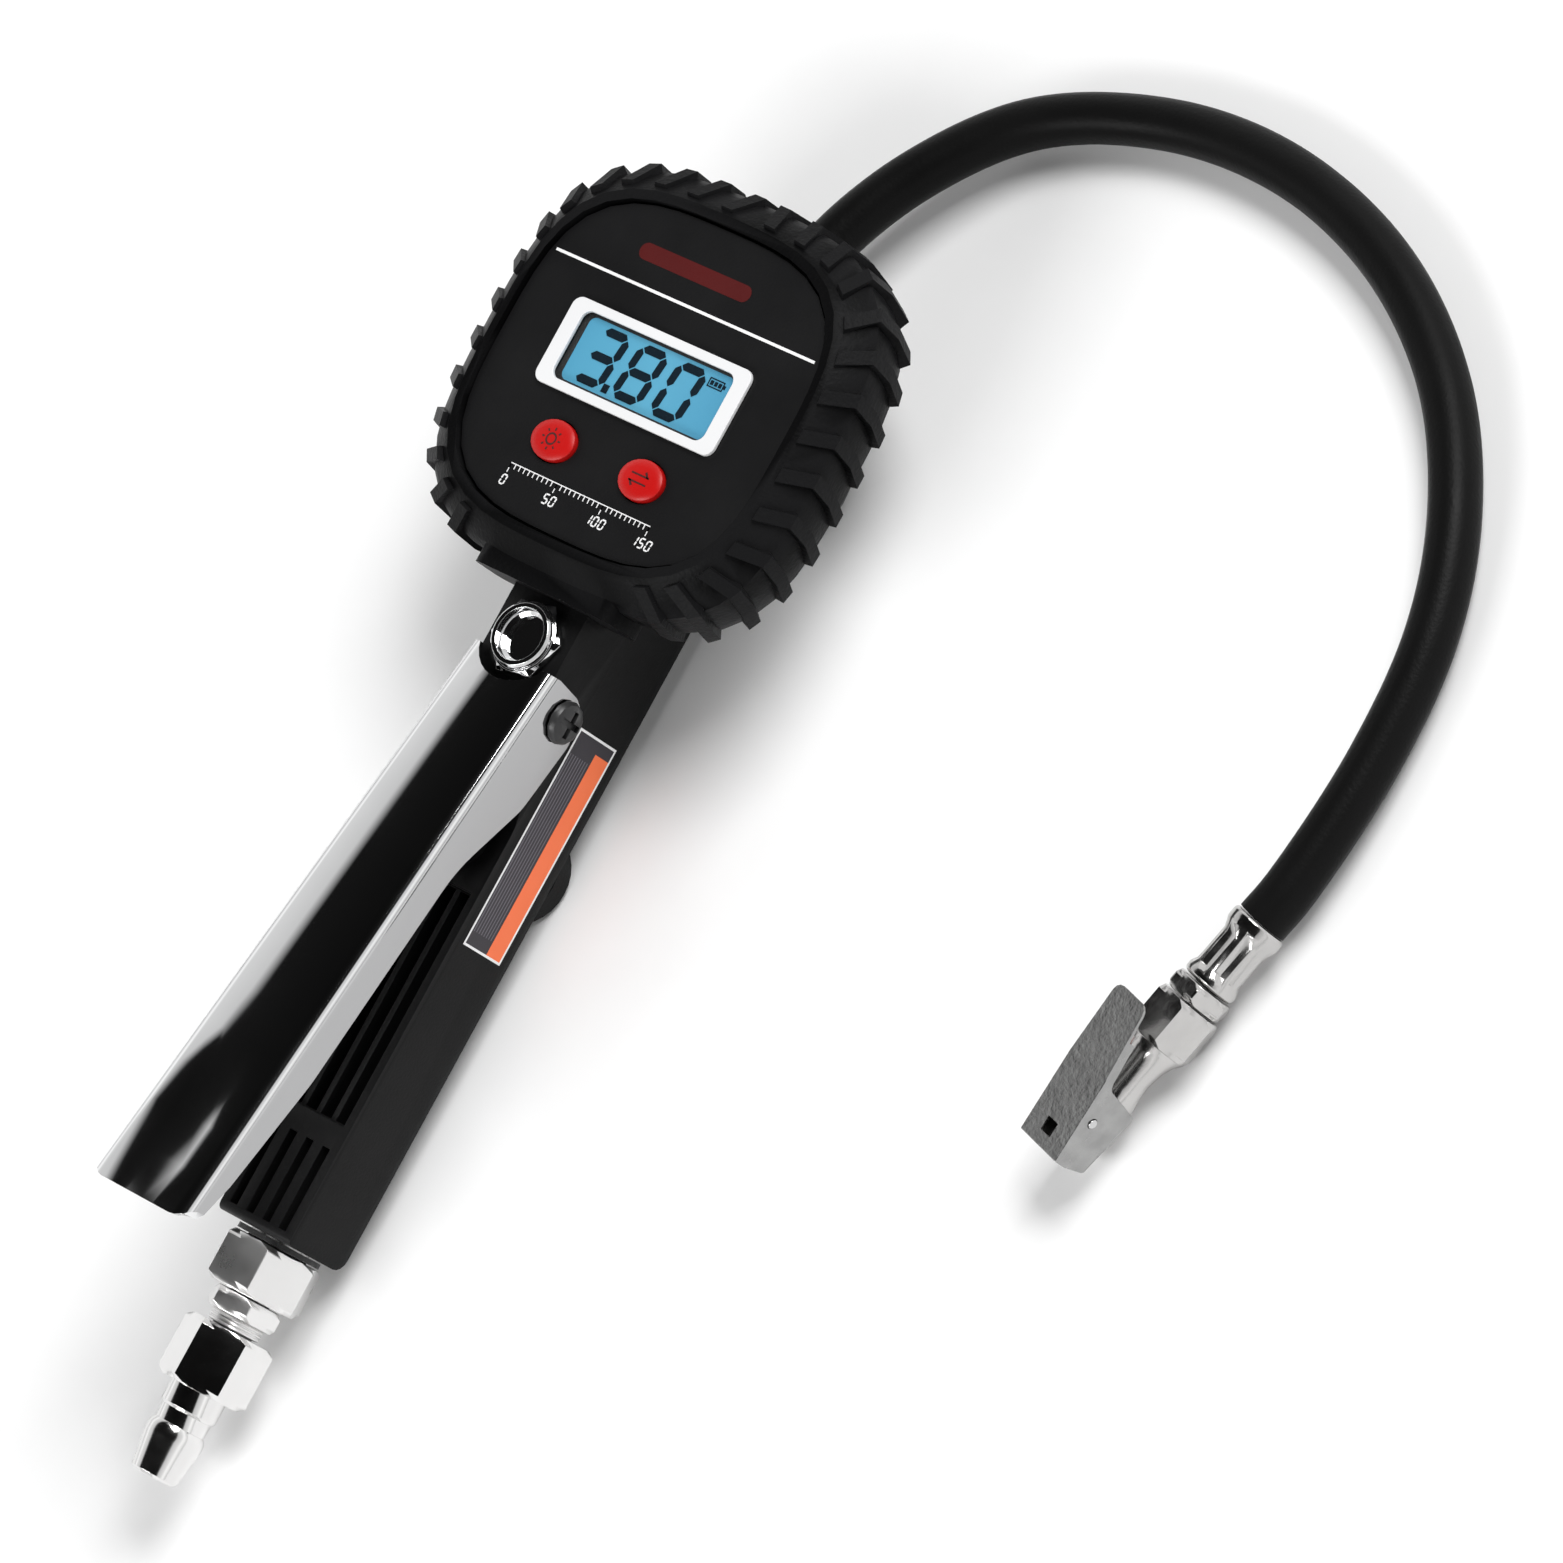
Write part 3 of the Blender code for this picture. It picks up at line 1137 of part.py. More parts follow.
def make_boot(rubber):
    """Rubber guard round the gauge, with tyre-tread lugs and a plain saddle over the neck."""
    half_x, half_y = BOOT_HALF_X, BOOT_HALF_Y
    levels = [
        (BOOT_BACK_Z, half_x - 0.0020, half_y - 0.0020),
        (BOOT_BACK_Z + 0.0040, half_x - 0.0006, half_y - 0.0006),
        (BOOT_RIDGE_Z - 0.0040, half_x, half_y),
        (BOOT_RIDGE_Z, half_x, half_y),
        (BOOT_RIDGE_Z + 0.0022, half_x - 0.0013, half_y - 0.0013),
        (BOOT_FRONT_Z - 0.0006, half_x - 0.0050, half_y - 0.0050),
        (BOOT_FRONT_Z, half_x - 0.0058, half_y - 0.0058),
    ]
    boot = add_part("gauge_boot", squircle_stack("gauge_boot", levels), rubber)
    saddle_low = GAUGE_Y - half_y - SADDLE_HEIGHT
    saddle = panel_outline(SADDLE_WIDTH, 0.0125, 0.0030, 0.0, BOOT_RIDGE_Z - 0.0040)
    saddle_body = prism_cutter("boot_saddle", [saddle], -(GAUGE_Y - half_y + 0.0030), -saddle_low, END_ON)
    boolean(boot, saddle_body, "UNION")
    boolean(boot, add_cutter("boot_lugs", lug_mesh("boot_lugs")), "UNION")

    pocket = squircle_stack("boot_pocket", [
        (BOOT_BACK_Z - PAST, CASE_HALF_X + GAP, CASE_HALF_Y + GAP),
        (CASE_FRONT_Z + GAP, CASE_HALF_X + GAP, CASE_HALF_Y + GAP),
    ])
    boolean(boot, add_cutter("boot_pocket", pocket))
    opening = squircle_stack("boot_opening", [
        (BOOT_BACK_Z, OPENING_HALF_X, OPENING_HALF_Y),
        (BOOT_FRONT_Z + PAST, OPENING_HALF_X, OPENING_HALF_Y),
    ])
    boolean(boot, add_cutter("boot_opening", opening))
    neck = box_cutter("boot_neck_notch",
                      (-HANDLE_WIDTH / 2 - GAP, saddle_low - PAST, BOOT_BACK_Z - PAST),
                      (HANDLE_WIDTH / 2 + GAP, NECK_TOP_Y + 2 * GAP, NECK_FRONT_Z + GAP))
    boolean(boot, neck)
    return boot


def make_case(black, black_gloss, chrome):
    """Gauge case, its back, the round rear cover and the screws."""
    levels = [
        (CASE_LOW_Z, CASE_HALF_X, CASE_HALF_Y),
        (CASE_FRONT_Z, CASE_HALF_X, CASE_HALF_Y),
        (CASE_FRONT_Z, OPENING_HALF_X - GAP, OPENING_HALF_Y - GAP),
        (PLINTH_TOP_Z, OPENING_HALF_X - GAP, OPENING_HALF_Y - GAP),
    ]
    case = add_part("gauge_case", squircle_stack("gauge_case", levels), black)
    hollow = squircle_stack("case_hollow", [
        (CASE_LOW_Z - PAST, CASE_HALF_X - CASE_WALL, CASE_HALF_Y - CASE_WALL),
        (CASE_INNER_Z, CASE_HALF_X - CASE_WALL, CASE_HALF_Y - CASE_WALL),
    ])
    boolean(case, add_cutter("case_hollow", hollow))
    spots = [(sx * CASE_SCREW_X, GAUGE_Y + sy * CASE_SCREW_Y) for sx in (-1, 1) for sy in (-1, 1)]
    screw_bore = CASE_SCREW_OD / 2 + GAP
    seat = CASE_SEAT_Z - GAP
    for index, (x, y) in enumerate(spots):
        boss = turned_cutter(f"case_boss_{index}", rod_profile(CASE_BOSS_OD / 2, CASE_LOW_Z + GAP,
                                                          CASE_INNER_Z + GAP), SMALL)
        boolean(case, at_xy(boss, x, y, SPIN), "UNION")
    for index, (x, y) in enumerate(spots):
        hole = rod_profile(screw_bore, CASE_LOW_Z - PAST, seat + CASE_SCREW_LENGTH + GAP)
        boolean(case, at_xy(turned_cutter(f"case_hole_{index}", hole, SMALL), x, y))
    window = panel_outline(LCD_WINDOW_WIDTH + 0.0010, LCD_WINDOW_HEIGHT + 0.0010, 0.0008, 0.0, LCD_Y)
    boolean(case, prism_cutter("case_window", [window], CASE_INNER_Z - PAST, PLINTH_TOP_Z + PAST, PLAN))
    for side in (-1, 1):
        hole = oval(BUTTON_LENGTH + 2 * GAP, BUTTON_HEIGHT + 2 * GAP, side * BUTTON_X, BUTTON_Y)
        opening = prism_cutter(f"case_button_{side}", [hole], CASE_INNER_Z - PAST, PLINTH_TOP_Z + PAST, PLAN)
        boolean(case, opening)

    back = add_part("case_back", squircle_stack("case_back", [
        (CASE_SEAT_Z, CASE_HALF_X, CASE_HALF_Y),
        (CASE_SEAT_Z + CASE_BACK_THICKNESS, CASE_HALF_X, CASE_HALF_Y),
    ]), black)
    for index, (x, y) in enumerate(spots):
        hole = rod_profile(screw_bore, CASE_SEAT_Z - PAST, CASE_LOW_Z + PAST)
        boolean(back, at_xy(turned_cutter(f"back_hole_{index}", hole, SMALL), x, y))
        profile = [
            (0.0, seat + CASE_SCREW_LENGTH),
            (CASE_SCREW_OD / 2, seat + CASE_SCREW_LENGTH),
            (CASE_SCREW_OD / 2, seat),
            (CASE_SCREW_HEAD_OD / 2, seat),
            (CASE_SCREW_HEAD_OD / 2, seat - 0.6 * CASE_SCREW_HEAD_HEIGHT),
            (0.6 * CASE_SCREW_HEAD_OD / 2, seat - CASE_SCREW_HEAD_HEIGHT),
            (0.0, seat - CASE_SCREW_HEAD_HEIGHT),
        ]
        at_xy(turned(f"case_screw_{index + 1}", profile, chrome, SMALL), x, y)
    port = rod_profile(SENSOR_STEM_OD / 2 + GAP, CASE_SEAT_Z - PAST, CASE_LOW_Z + PAST)
    boolean(back, at_xy(turned_cutter("back_port", port, SMALL), 0.0, LCD_Y))

    radius = REAR_COVER_RADIUS
    fillet = REAR_COVER_FILLET
    top = CASE_SEAT_Z - GAP
    floor = HANDLE_BACK_Z - GAP
    inner = radius - REAR_COVER_WALL
    arc = [(radius - fillet + fillet * math.cos(a), fillet - fillet * math.sin(a))
           for a in (math.pi / 8 * step for step in range(5))]
    shell = [(0.0, floor), (inner, floor), (inner, top), (radius, top)] + arc + [(0.0, 0.0)]
    cover = at_xy(turned("gauge_rear_cover", shell, black_gloss, 40), 0.0, REAR_COVER_Y)
    half = HANDLE_WIDTH / 2 + GAP
    boolean(cover, box_cutter("cover_neck_slot", (-half, REAR_COVER_Y - 2 * radius, floor),
                              (half, REAR_COVER_Y, top + PAST)))
    side = OUTLET_HEX_AF / 2 / math.cos(math.pi / 6) + 2 * GAP
    boolean(cover, box_cutter("cover_outlet_slot", (-side, REAR_COVER_Y, AXIS_Z - side),
                              (side, REAR_COVER_Y + 2 * radius, top + PAST)))


def make_display(face, white, glass, blue, board_green, steel, red, dark):
    """Face panel, display, board, sensor, cell, switches and the two push buttons."""
    inset = 2 * GAP
    panel = add_part("face_panel", squircle_stack("face_panel", [
        (FACE_LOW_Z, OPENING_HALF_X - inset, OPENING_HALF_Y - inset),
        (FACE_TOP_Z, OPENING_HALF_X - inset, OPENING_HALF_Y - inset),
    ]), face)
    window = panel_outline(LCD_WINDOW_WIDTH + 0.0010, LCD_WINDOW_HEIGHT + 0.0010, 0.0008, 0.0, LCD_Y)
    boolean(panel, prism_cutter("face_window", [window], FACE_LOW_Z - PAST, FACE_TOP_Z + PAST, PLAN))

    frame_low = FACE_TOP_Z + GAP
    outer = panel_outline(LCD_FRAME_WIDTH, LCD_FRAME_HEIGHT, 0.0016, 0.0, LCD_Y)
    inner = panel_outline(LCD_WINDOW_WIDTH, LCD_WINDOW_HEIGHT, 0.0006, 0.0, LCD_Y)
    prism("lcd_frame", [outer, inner], frame_low, frame_low + LCD_FRAME_THICKNESS, PLAN, white)

    lens_top = frame_low + LCD_FRAME_THICKNESS / 2
    lens_low = lens_top - LCD_LENS_THICKNESS
    lens = panel_outline(LCD_WINDOW_WIDTH - inset, LCD_WINDOW_HEIGHT - inset, 0.0004, 0.0, LCD_Y)
    prism("lcd_lens", [lens], lens_low, lens_top, PLAN, glass)
    prism("lcd_module", [lens], BOARD_TOP_Z + GAP, lens_low - GAP, PLAN, blue)

    board = panel_outline(BOARD_WIDTH, BOARD_HEIGHT, 0.0020, 0.0, GAUGE_Y)
    prism("circuit_board", [board], BOARD_Z, BOARD_TOP_Z, PLAN, board_green)

    sensor_low = CASE_SEAT_Z - SENSOR_STEM_LENGTH
    sensor_seat = CASE_LOW_Z
    sensor = [
        (0.0, BOARD_Z - GAP),
        (SENSOR_OD / 2, BOARD_Z - GAP),
        (SENSOR_OD / 2, sensor_seat),
        (SENSOR_STEM_OD / 2, sensor_seat),
        (SENSOR_STEM_OD / 2, sensor_low),
        (0.0, sensor_low),
    ]
    at_xy(turned("pressure_sensor", sensor, steel), 0.0, LCD_Y)
    cell = rod_profile(CELL_OD / 2, BOARD_Z - GAP - CELL_THICKNESS, BOARD_Z - GAP)
    at_xy(turned("coin_cell", cell, steel), 0.0, CELL_Y)

    flange_top = CASE_INNER_Z - GAP
    flange_low = flange_top - BUTTON_FLANGE_THICKNESS
    top = FACE_TOP_Z + BUTTON_PROUD
    soft = 0.0006
    for name, side in (("light_button", -1), ("unit_button", 1)):
        x = side * BUTTON_X
        hole = oval(BUTTON_LENGTH + 2 * GAP, BUTTON_HEIGHT + 2 * GAP, x, BUTTON_Y)
        boolean(panel, prism_cutter("face_" + name, [hole], FACE_LOW_Z - PAST, FACE_TOP_Z + PAST, PLAN))
        rings = []
        wide, tall = BUTTON_LENGTH, BUTTON_HEIGHT
        for grow, z in ((2 * BUTTON_FLANGE, flange_low), (2 * BUTTON_FLANGE, flange_top), (0.0, flange_top),
                        (0.0, top - soft), (-2 * soft, top - soft / 3), (-6 * soft, top)):
            rings.append([(u, v, z) for u, v in oval(wide + grow, tall + grow, x, BUTTON_Y)])
        button = add_part(name, loft_mesh(name, rings), red)
        put_origin(button, (x, BUTTON_Y, flange_low))
        low = (x - SWITCH_SIZE / 2, BUTTON_Y - SWITCH_SIZE / 2, BOARD_TOP_Z + GAP)
        high = (x + SWITCH_SIZE / 2, BUTTON_Y + SWITCH_SIZE / 2, BOARD_TOP_Z + GAP + SWITCH_HEIGHT)
        add_part(name.split("_")[0] + "_switch", box_mesh(name + "_switch", low, high), dark)


def make_outlet(chrome):
    """Hose tail screwed into the spine, and the collar that holds the hose on it."""
    hex_high = OUTLET_HEX_LOW_Y + OUTLET_HEX_LENGTH
    tail_high = COLLAR_LOW_Y + COLLAR_LENGTH - GAP
    spigot_low = SPINE_TOP_Y - OUTLET_SPIGOT_LENGTH
    tail = [(tail_high, circle(OUTLET_TAIL_OD / 2)), (hex_high, circle(OUTLET_TAIL_OD / 2))]
    tail += nut_levels(OUTLET_HEX_AF, hex_high, OUTLET_HEX_LOW_Y)
    tail += [
        (OUTLET_HEX_LOW_Y, circle(OUTLET_SPIGOT_OD / 2)),
        (spigot_low, circle(OUTLET_SPIGOT_OD / 2)),
        (spigot_low, circle(OUTLET_BORE / 2)),
        (tail_high, circle(OUTLET_BORE / 2)),
    ]
    along_y(ring_stack("hose_outlet", tail, chrome), 0.0, AXIS_Z)
    radius = COLLAR_OD / 2
    high = COLLAR_LOW_Y + COLLAR_LENGTH
    inner = OUTLET_TAIL_OD / 2 + GAP
    collar = [
        (radius - 0.0004, high),
        (radius, high - 0.0006),
        (radius - 0.0005, COLLAR_LOW_Y + 0.6 * COLLAR_LENGTH),
        (radius - 0.0005, COLLAR_LOW_Y + 0.3 * COLLAR_LENGTH),
        (radius, COLLAR_LOW_Y + 0.0008),
        (radius - 0.0005, COLLAR_LOW_Y),
        (inner, COLLAR_LOW_Y),
        (inner, high),
    ]
    along_y(turned("hose_collar", collar, chrome, ROUND, True), 0.0, AXIS_Z)


def make_hose(rubber):
    points = smooth_curve(HOSE_ROUTE, HOSE_STEP_COUNT)
    length = sum((b - a).length for a, b in zip(points, points[1:]))
    print("hose length (mm):", round(1000 * length, 1))
    tube("hose", points, HOSE_OD, rubber, 3)
    return points


def chuck_frame(points):
    """Empty at the hose's end, with +Y along the chuck and +Z on its clip side."""
    frame = bpy.data.objects.new("chuck_frame", None)
    parts.objects.link(frame)
    frame.location = points[-1]
    way = Matrix.Rotation(math.pi - CHUCK_HEADING, 3, "Z") @ Matrix.Rotation(CHUCK_ROLL, 3, "Y")
    frame.rotation_euler = way.to_euler()
    return frame


def on_frame(frame, *items):
    for item in items:
        item.parent = frame


def make_chuck(frame, plated, zinc, steel, rubber, spring_steel):
    """Crimped ferrule, nut and clip-on chuck with its thumb clip."""
    radius = FERRULE_OD / 2
    waist = FERRULE_WAIST_OD / 2
    low = GAP + FERRULE_LENGTH
    levels = [
        (low, circle(radius - 0.0008)),
        (low - 0.0006, circle(radius - 0.0002)),
        (low - 0.0018, circle(radius - 0.0002)),
        (low - 0.0034, crimped(waist)),
        (GAP + 0.0048, crimped(waist)),
        (GAP + 0.0026, circle(radius)),
        (GAP + 0.0006, circle(radius)),
        (GAP, circle(radius - 0.0004)),
        (GAP, circle(FERRULE_BORE / 2)),
        (low, circle(FERRULE_BORE / 2)),
    ]
    ferrule = along_y(ring_stack("hose_ferrule", levels, plated))
    nut_end = NUT_FACE_Y + CHUCK_NUT_LENGTH
    levels = nut_levels(CHUCK_NUT_AF, nut_end, NUT_FACE_Y)
    levels += [(NUT_FACE_Y, circle(FERRULE_BORE / 2)), (nut_end, circle(FERRULE_BORE / 2))]
    nut = along_y(ring_stack("chuck_nut", levels, zinc))
    on_frame(frame, ferrule, nut)

    hex_end = CHUCK_TOP_Y + CHUCK_HEX_LENGTH
    nose = CHUCK_NOSE_OD / 2
    neck = CHUCK_NECK_OD / 2
    socket_end = MOUTH_Y - CHUCK_MOUTH_DEPTH
    levels = [
        (MOUTH_Y, circle(nose - 0.0003)),
        (MOUTH_Y - 0.0005, circle(nose)),
        (CHUCK_NECK_Y + 0.0050, circle(nose)),
        (CHUCK_NECK_Y + 0.0030, circle(neck + 0.0003)),
        (CHUCK_NECK_Y, circle(neck)),
        (hex_end + 0.0036, circle(neck + 0.0005)),
        (hex_end + 0.0014, circle(CHUCK_HEX_AF / 2 - 0.0012)),
        (hex_end, circle(CHUCK_HEX_AF / 2 - 0.0002)),
    ]
    levels += nut_levels(CHUCK_HEX_AF, hex_end, CHUCK_TOP_Y)
    levels += [
        (CHUCK_TOP_Y, circle(CHUCK_AIR_BORE / 2)),
        (socket_end, circle(CHUCK_AIR_BORE / 2)),
        (socket_end, circle(CHUCK_MOUTH_BORE / 2)),
        (MOUTH_Y, circle(CHUCK_MOUTH_BORE / 2)),
    ]
    body = along_y(ring_stack("chuck_body", levels, plated))
    on_frame(frame, body)
    lug_low = 0.0024
    lug_high = CLIP_PIN_Z + 0.0019
    outline = [
        (PIN_Y - PIN_LUG_LENGTH / 2 - 0.0008, lug_low, 0.0),
        (PIN_Y + PIN_LUG_LENGTH / 2, lug_low, 0.0),
        (PIN_Y + PIN_LUG_LENGTH / 2, lug_high, 0.0014),
        (PIN_Y - PIN_LUG_LENGTH / 2, lug_high, 0.0014),
    ]
    outer = nose - 0.0005
    for name, inner_x, outer_x in (("pin_lug_left", -outer, PIN_LUG_WALL - outer),
                                   ("pin_lug_right", outer - PIN_LUG_WALL, outer)):
        lug = prism_cutter(name, [rounded(outline, 3)], inner_x, outer_x, SIDE_ON)
        on_frame(frame, lug)
        boolean(body, lug, "UNION")
    pin_run = rod_profile(CLIP_PIN_OD / 2 + RUN_GAP, -2 * nose, 2 * nose)
    pin_hole = along_x(turned_cutter("lug_holes", pin_run, SMALL), PIN_Y, CLIP_PIN_Z)
    boolean(body, pin_hole)

    seal_high = socket_end + GAP + CHUCK_SEAL_LENGTH
    seal = [
        (CHUCK_MOUTH_BORE / 2 - GAP, seal_high),
        (CHUCK_MOUTH_BORE / 2 - GAP, socket_end + GAP),
        (CHUCK_SEAL_BORE / 2, socket_end + GAP),
        (CHUCK_SEAL_BORE / 2, seal_high),
    ]
    seal_item = along_y(turned("chuck_seal", seal, rubber, ROUND, True))
    tip = seal_high + DEPRESSOR_REACH
    depressor = along_y(turned("valve_depressor", rod_profile(DEPRESSOR_OD / 2, tip - DEPRESSOR_LENGTH, tip),
                               steel, SMALL))
    reach = CLIP_HALF_WIDTH + GAP
    pin_rod = rod_profile(CLIP_PIN_OD / 2, -reach, reach)
    pin = along_x(turned("clip_pin", pin_rod, steel, SMALL), PIN_Y, CLIP_PIN_Z)
    on_frame(frame, pin_hole, seal_item, depressor, pin)
    make_clip(frame, zinc)
    make_clip_spring(frame, outer - PIN_LUG_WALL, spring_steel)


def clip_line(y):
    """Height of the clip's outer sheet above the chuck's axis."""
    return CLIP_MOUTH_Z + (MOUTH_Y - y) * CLIP_SLOPE


def make_clip(frame, zinc):
    """Thumb clip: a folded sheet channel on a cross pin, with deep sides and a jaw past the mouth."""
    start = MOUTH_Y - CLIP_START
    tip = MOUTH_Y + CLIP_TIP
    jaw = MOUTH_Y + GAP
    side = PIN_Y - 0.0052
    outline = [
        (start, clip_line(start), 0.0),
        (start, clip_line(start) - CLIP_FLANGE, 0.0008),
        (side - 0.0020, clip_line(side - 0.0020) - CLIP_FLANGE, 0.0020),
        (side, -0.0023, 0.0015),
        (tip - 0.0010, -0.0009, 0.0010),
        (tip, CLIP_JAW_Z, 0.0),
        (tip, clip_line(tip), 0.0),
    ]
    half = CLIP_HALF_WIDTH
    clip = prism("chuck_clip", [rounded(outline, 3)], -half, half, SIDE_ON, zinc)
    bevel(clip, 0.0007, 2, 60.0)
    inside = [
        (start - PAST, clip_line(start - PAST) - CLIP_SHEET),
        (start - PAST, -0.01),
        (tip + PAST, -0.01),
        (tip + PAST, CLIP_JAW_Z),
        (jaw, CLIP_JAW_Z),
        (jaw, clip_line(jaw) - CLIP_SHEET),
    ]
    hollow = prism_cutter("clip_hollow", [inside], -half + CLIP_SHEET, half - CLIP_SHEET, SIDE_ON)
    boolean(clip, hollow)
    slot_y = MOUTH_Y - 0.0030
    slot = box_cutter("clip_slot", (-CLIP_SLOT / 2, slot_y - CLIP_SLOT / 2, CLIP_PIN_Z),
                      (CLIP_SLOT / 2, slot_y + CLIP_SLOT / 2, CLIP_START_Z))
    boolean(clip, slot)
    pin_run = rod_profile(CLIP_PIN_OD / 2 + RUN_GAP, -2 * half, 2 * half)
    hole = along_x(turned_cutter("clip_hole", pin_run, SMALL), PIN_Y, CLIP_PIN_Z)
    boolean(clip, hole)
    thumb = CLIP_THUMB_WIDTH / 2
    wide = half + PAST
    plan = [
        (-thumb, start + GAP, CLIP_THUMB_CORNER),
        (thumb, start + GAP, CLIP_THUMB_CORNER),
        (half, side - 0.0010, 0.0040),
        (wide, side, 0.0),
        (wide, tip + PAST, 0.0),
        (-wide, tip + PAST, 0.0),
        (-wide, side, 0.0),
        (-half, side - 0.0010, 0.0040),
    ]
    taper = prism_cutter("clip_taper", [rounded(plan, 3)], -0.0100, 0.0300, PLAN)
    boolean(clip, taper, "INTERSECT")
    put_origin(clip, Vector((0.0, PIN_Y, CLIP_PIN_Z)))
    on_frame(frame, clip, hollow, slot, hole, taper)


def make_clip_spring(frame, lug_face, spring_steel):
    """Coil on the cross pin, between the lugs."""
    reach = lug_face - GAP - CLIP_SPRING_WIRE / 2
    coil = helix((CLIP_SPRING_OD - CLIP_SPRING_WIRE) / 2, -reach, reach, CLIP_SPRING_TURNS, SPRING_POINTS)
    print("clip spring, least gap between turns (mm):",
          round(1000 * least_turn_gap(coil, CLIP_SPRING_WIRE, SPRING_POINTS), 3))
    spring = along_x(tube("clip_spring", coil, CLIP_SPRING_WIRE, spring_steel, 1), PIN_Y, CLIP_PIN_Z)
    on_frame(frame, spring)


def main():
    global parts, cutters
    clear_scene()
    parts = new_collection("tyre_inflator")
    cutters = new_collection("cutters")

    grip = finish_material("grip_plastic", (0.018, 0.018, 0.020), 0.45, 0.0)
    gloss = finish_material("gloss_plastic", (0.012, 0.012, 0.013), 0.25, 0.0)
    boot_rubber = finish_material("boot_rubber", (0.014, 0.014, 0.015), 0.70, 0.0)
    seal_rubber = finish_material("seal_rubber", (0.020, 0.020, 0.020), 0.60, 0.0)
    hose_rubber = finish_material("hose_rubber", (0.012, 0.012, 0.012), 0.50, 0.0)
    chrome = finish_material("chrome", (0.80, 0.80, 0.82), 0.10, 1.0)
    plated = finish_material("plated_metal", (0.70, 0.70, 0.72), 0.22, 1.0)
    zinc = finish_material("zinc_grey", (0.42, 0.42, 0.43), 0.35, 1.0)
    steel = finish_material("steel", (0.60, 0.60, 0.60), 0.25, 1.0)
    spring_steel = finish_material("spring_steel", (0.45, 0.45, 0.46), 0.30, 1.0)
    brass = finish_material("brass", (0.75, 0.58, 0.25), 0.28, 1.0)
    black_steel = finish_material("black_steel", (0.03, 0.03, 0.03), 0.40, 0.6)
    mesh_bronze = finish_material("sintered_bronze", (0.55, 0.40, 0.22), 0.60, 1.0)
    face = finish_material("face_print", (0.010, 0.010, 0.011), 0.35, 0.0)
    white = finish_material("white_plastic", (0.80, 0.80, 0.80), 0.40, 0.0)
    glass = finish_material("clear_lens", (0.55, 0.80, 0.92), 0.08, 0.0)
    blue = finish_material("display_blue", (0.16, 0.52, 0.74), 0.40, 0.0)
    green = finish_material("board_green", (0.03, 0.20, 0.08), 0.50, 0.0)
    red = finish_material("red_plastic", (0.75, 0.02, 0.015), 0.35, 0.0)
    dark = finish_material("switch_black", (0.03, 0.03, 0.03), 0.50, 0.0)

    make_handle(grip)
    make_inlet(chrome, seal_rubber, mesh_bronze)
    make_valve(grip, brass, steel, seal_rubber, spring_steel)
    make_vent(chrome)
    make_lever(chrome)
    make_pivot(black_steel)
    make_boot(boot_rubber)
    make_case(grip, gloss, steel)
    make_display(face, white, glass, blue, green, steel, red, dark)
    make_outlet(plated)
    points = make_hose(hose_rubber)
    make_chuck(chuck_frame(points), plated, zinc, steel, seal_rubber, spring_steel)


main()
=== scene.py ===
"""Studio view of a tyre inflator with a digital gauge, lying on its back."""
import math

import bmesh
import bpy
from mathutils import Matrix, Vector


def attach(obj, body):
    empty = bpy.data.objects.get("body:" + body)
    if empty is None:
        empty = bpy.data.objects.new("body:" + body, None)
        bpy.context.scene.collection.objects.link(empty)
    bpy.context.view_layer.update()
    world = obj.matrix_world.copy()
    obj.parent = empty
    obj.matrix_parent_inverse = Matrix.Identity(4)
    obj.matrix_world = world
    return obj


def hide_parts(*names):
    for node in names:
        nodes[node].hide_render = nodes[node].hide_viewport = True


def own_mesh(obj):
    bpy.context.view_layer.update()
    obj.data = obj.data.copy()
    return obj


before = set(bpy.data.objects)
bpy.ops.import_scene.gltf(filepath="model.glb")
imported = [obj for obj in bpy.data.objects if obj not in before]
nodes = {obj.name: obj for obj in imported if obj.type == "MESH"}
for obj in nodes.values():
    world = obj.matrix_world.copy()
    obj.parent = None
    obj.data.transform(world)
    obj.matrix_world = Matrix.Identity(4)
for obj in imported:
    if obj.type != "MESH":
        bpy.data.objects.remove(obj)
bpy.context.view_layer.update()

# Sizes and places, in metres
AXIS_Z = 0.0150
GAUGE_Y = 0.0955
HALF_HANDLE = 0.0100
HOSE_OD = 0.0106
CHUCK_HEADING = math.radians(14.5)
HOSE_FLOOR_Z = HOSE_OD / 2 + 0.0003
HOSE_START_Y = 0.1323
HOSE_END = (0.1633, HOSE_START_Y - 0.0768, 0.0076)
HOSE_STRAIGHT = 0.0080
HOSE_ROUTE = (
    (0.0000, HOSE_START_Y, AXIS_Z),
    (0.0006, HOSE_START_Y + 0.0080, AXIS_Z - 0.0003),
    (0.0090, HOSE_START_Y + 0.0282, 0.0117),
    (0.0255, HOSE_START_Y + 0.0475, 0.0079),
    (0.0535, HOSE_START_Y + 0.0583, HOSE_FLOOR_Z),
    (0.0850, HOSE_START_Y + 0.0588, HOSE_FLOOR_Z),
    (0.1156, HOSE_START_Y + 0.0494, HOSE_FLOOR_Z),
    (0.1403, HOSE_START_Y + 0.0319, HOSE_FLOOR_Z),
    (0.1564, HOSE_START_Y + 0.0098, HOSE_FLOOR_Z),
    (0.1649, HOSE_START_Y - 0.0132, HOSE_FLOOR_Z),
    (0.1672, HOSE_START_Y - 0.0400, 0.0060),
    (HOSE_END[0] + HOSE_STRAIGHT * math.sin(CHUCK_HEADING),
     HOSE_END[1] + HOSE_STRAIGHT * math.cos(CHUCK_HEADING), HOSE_END[2]),
    HOSE_END,
)
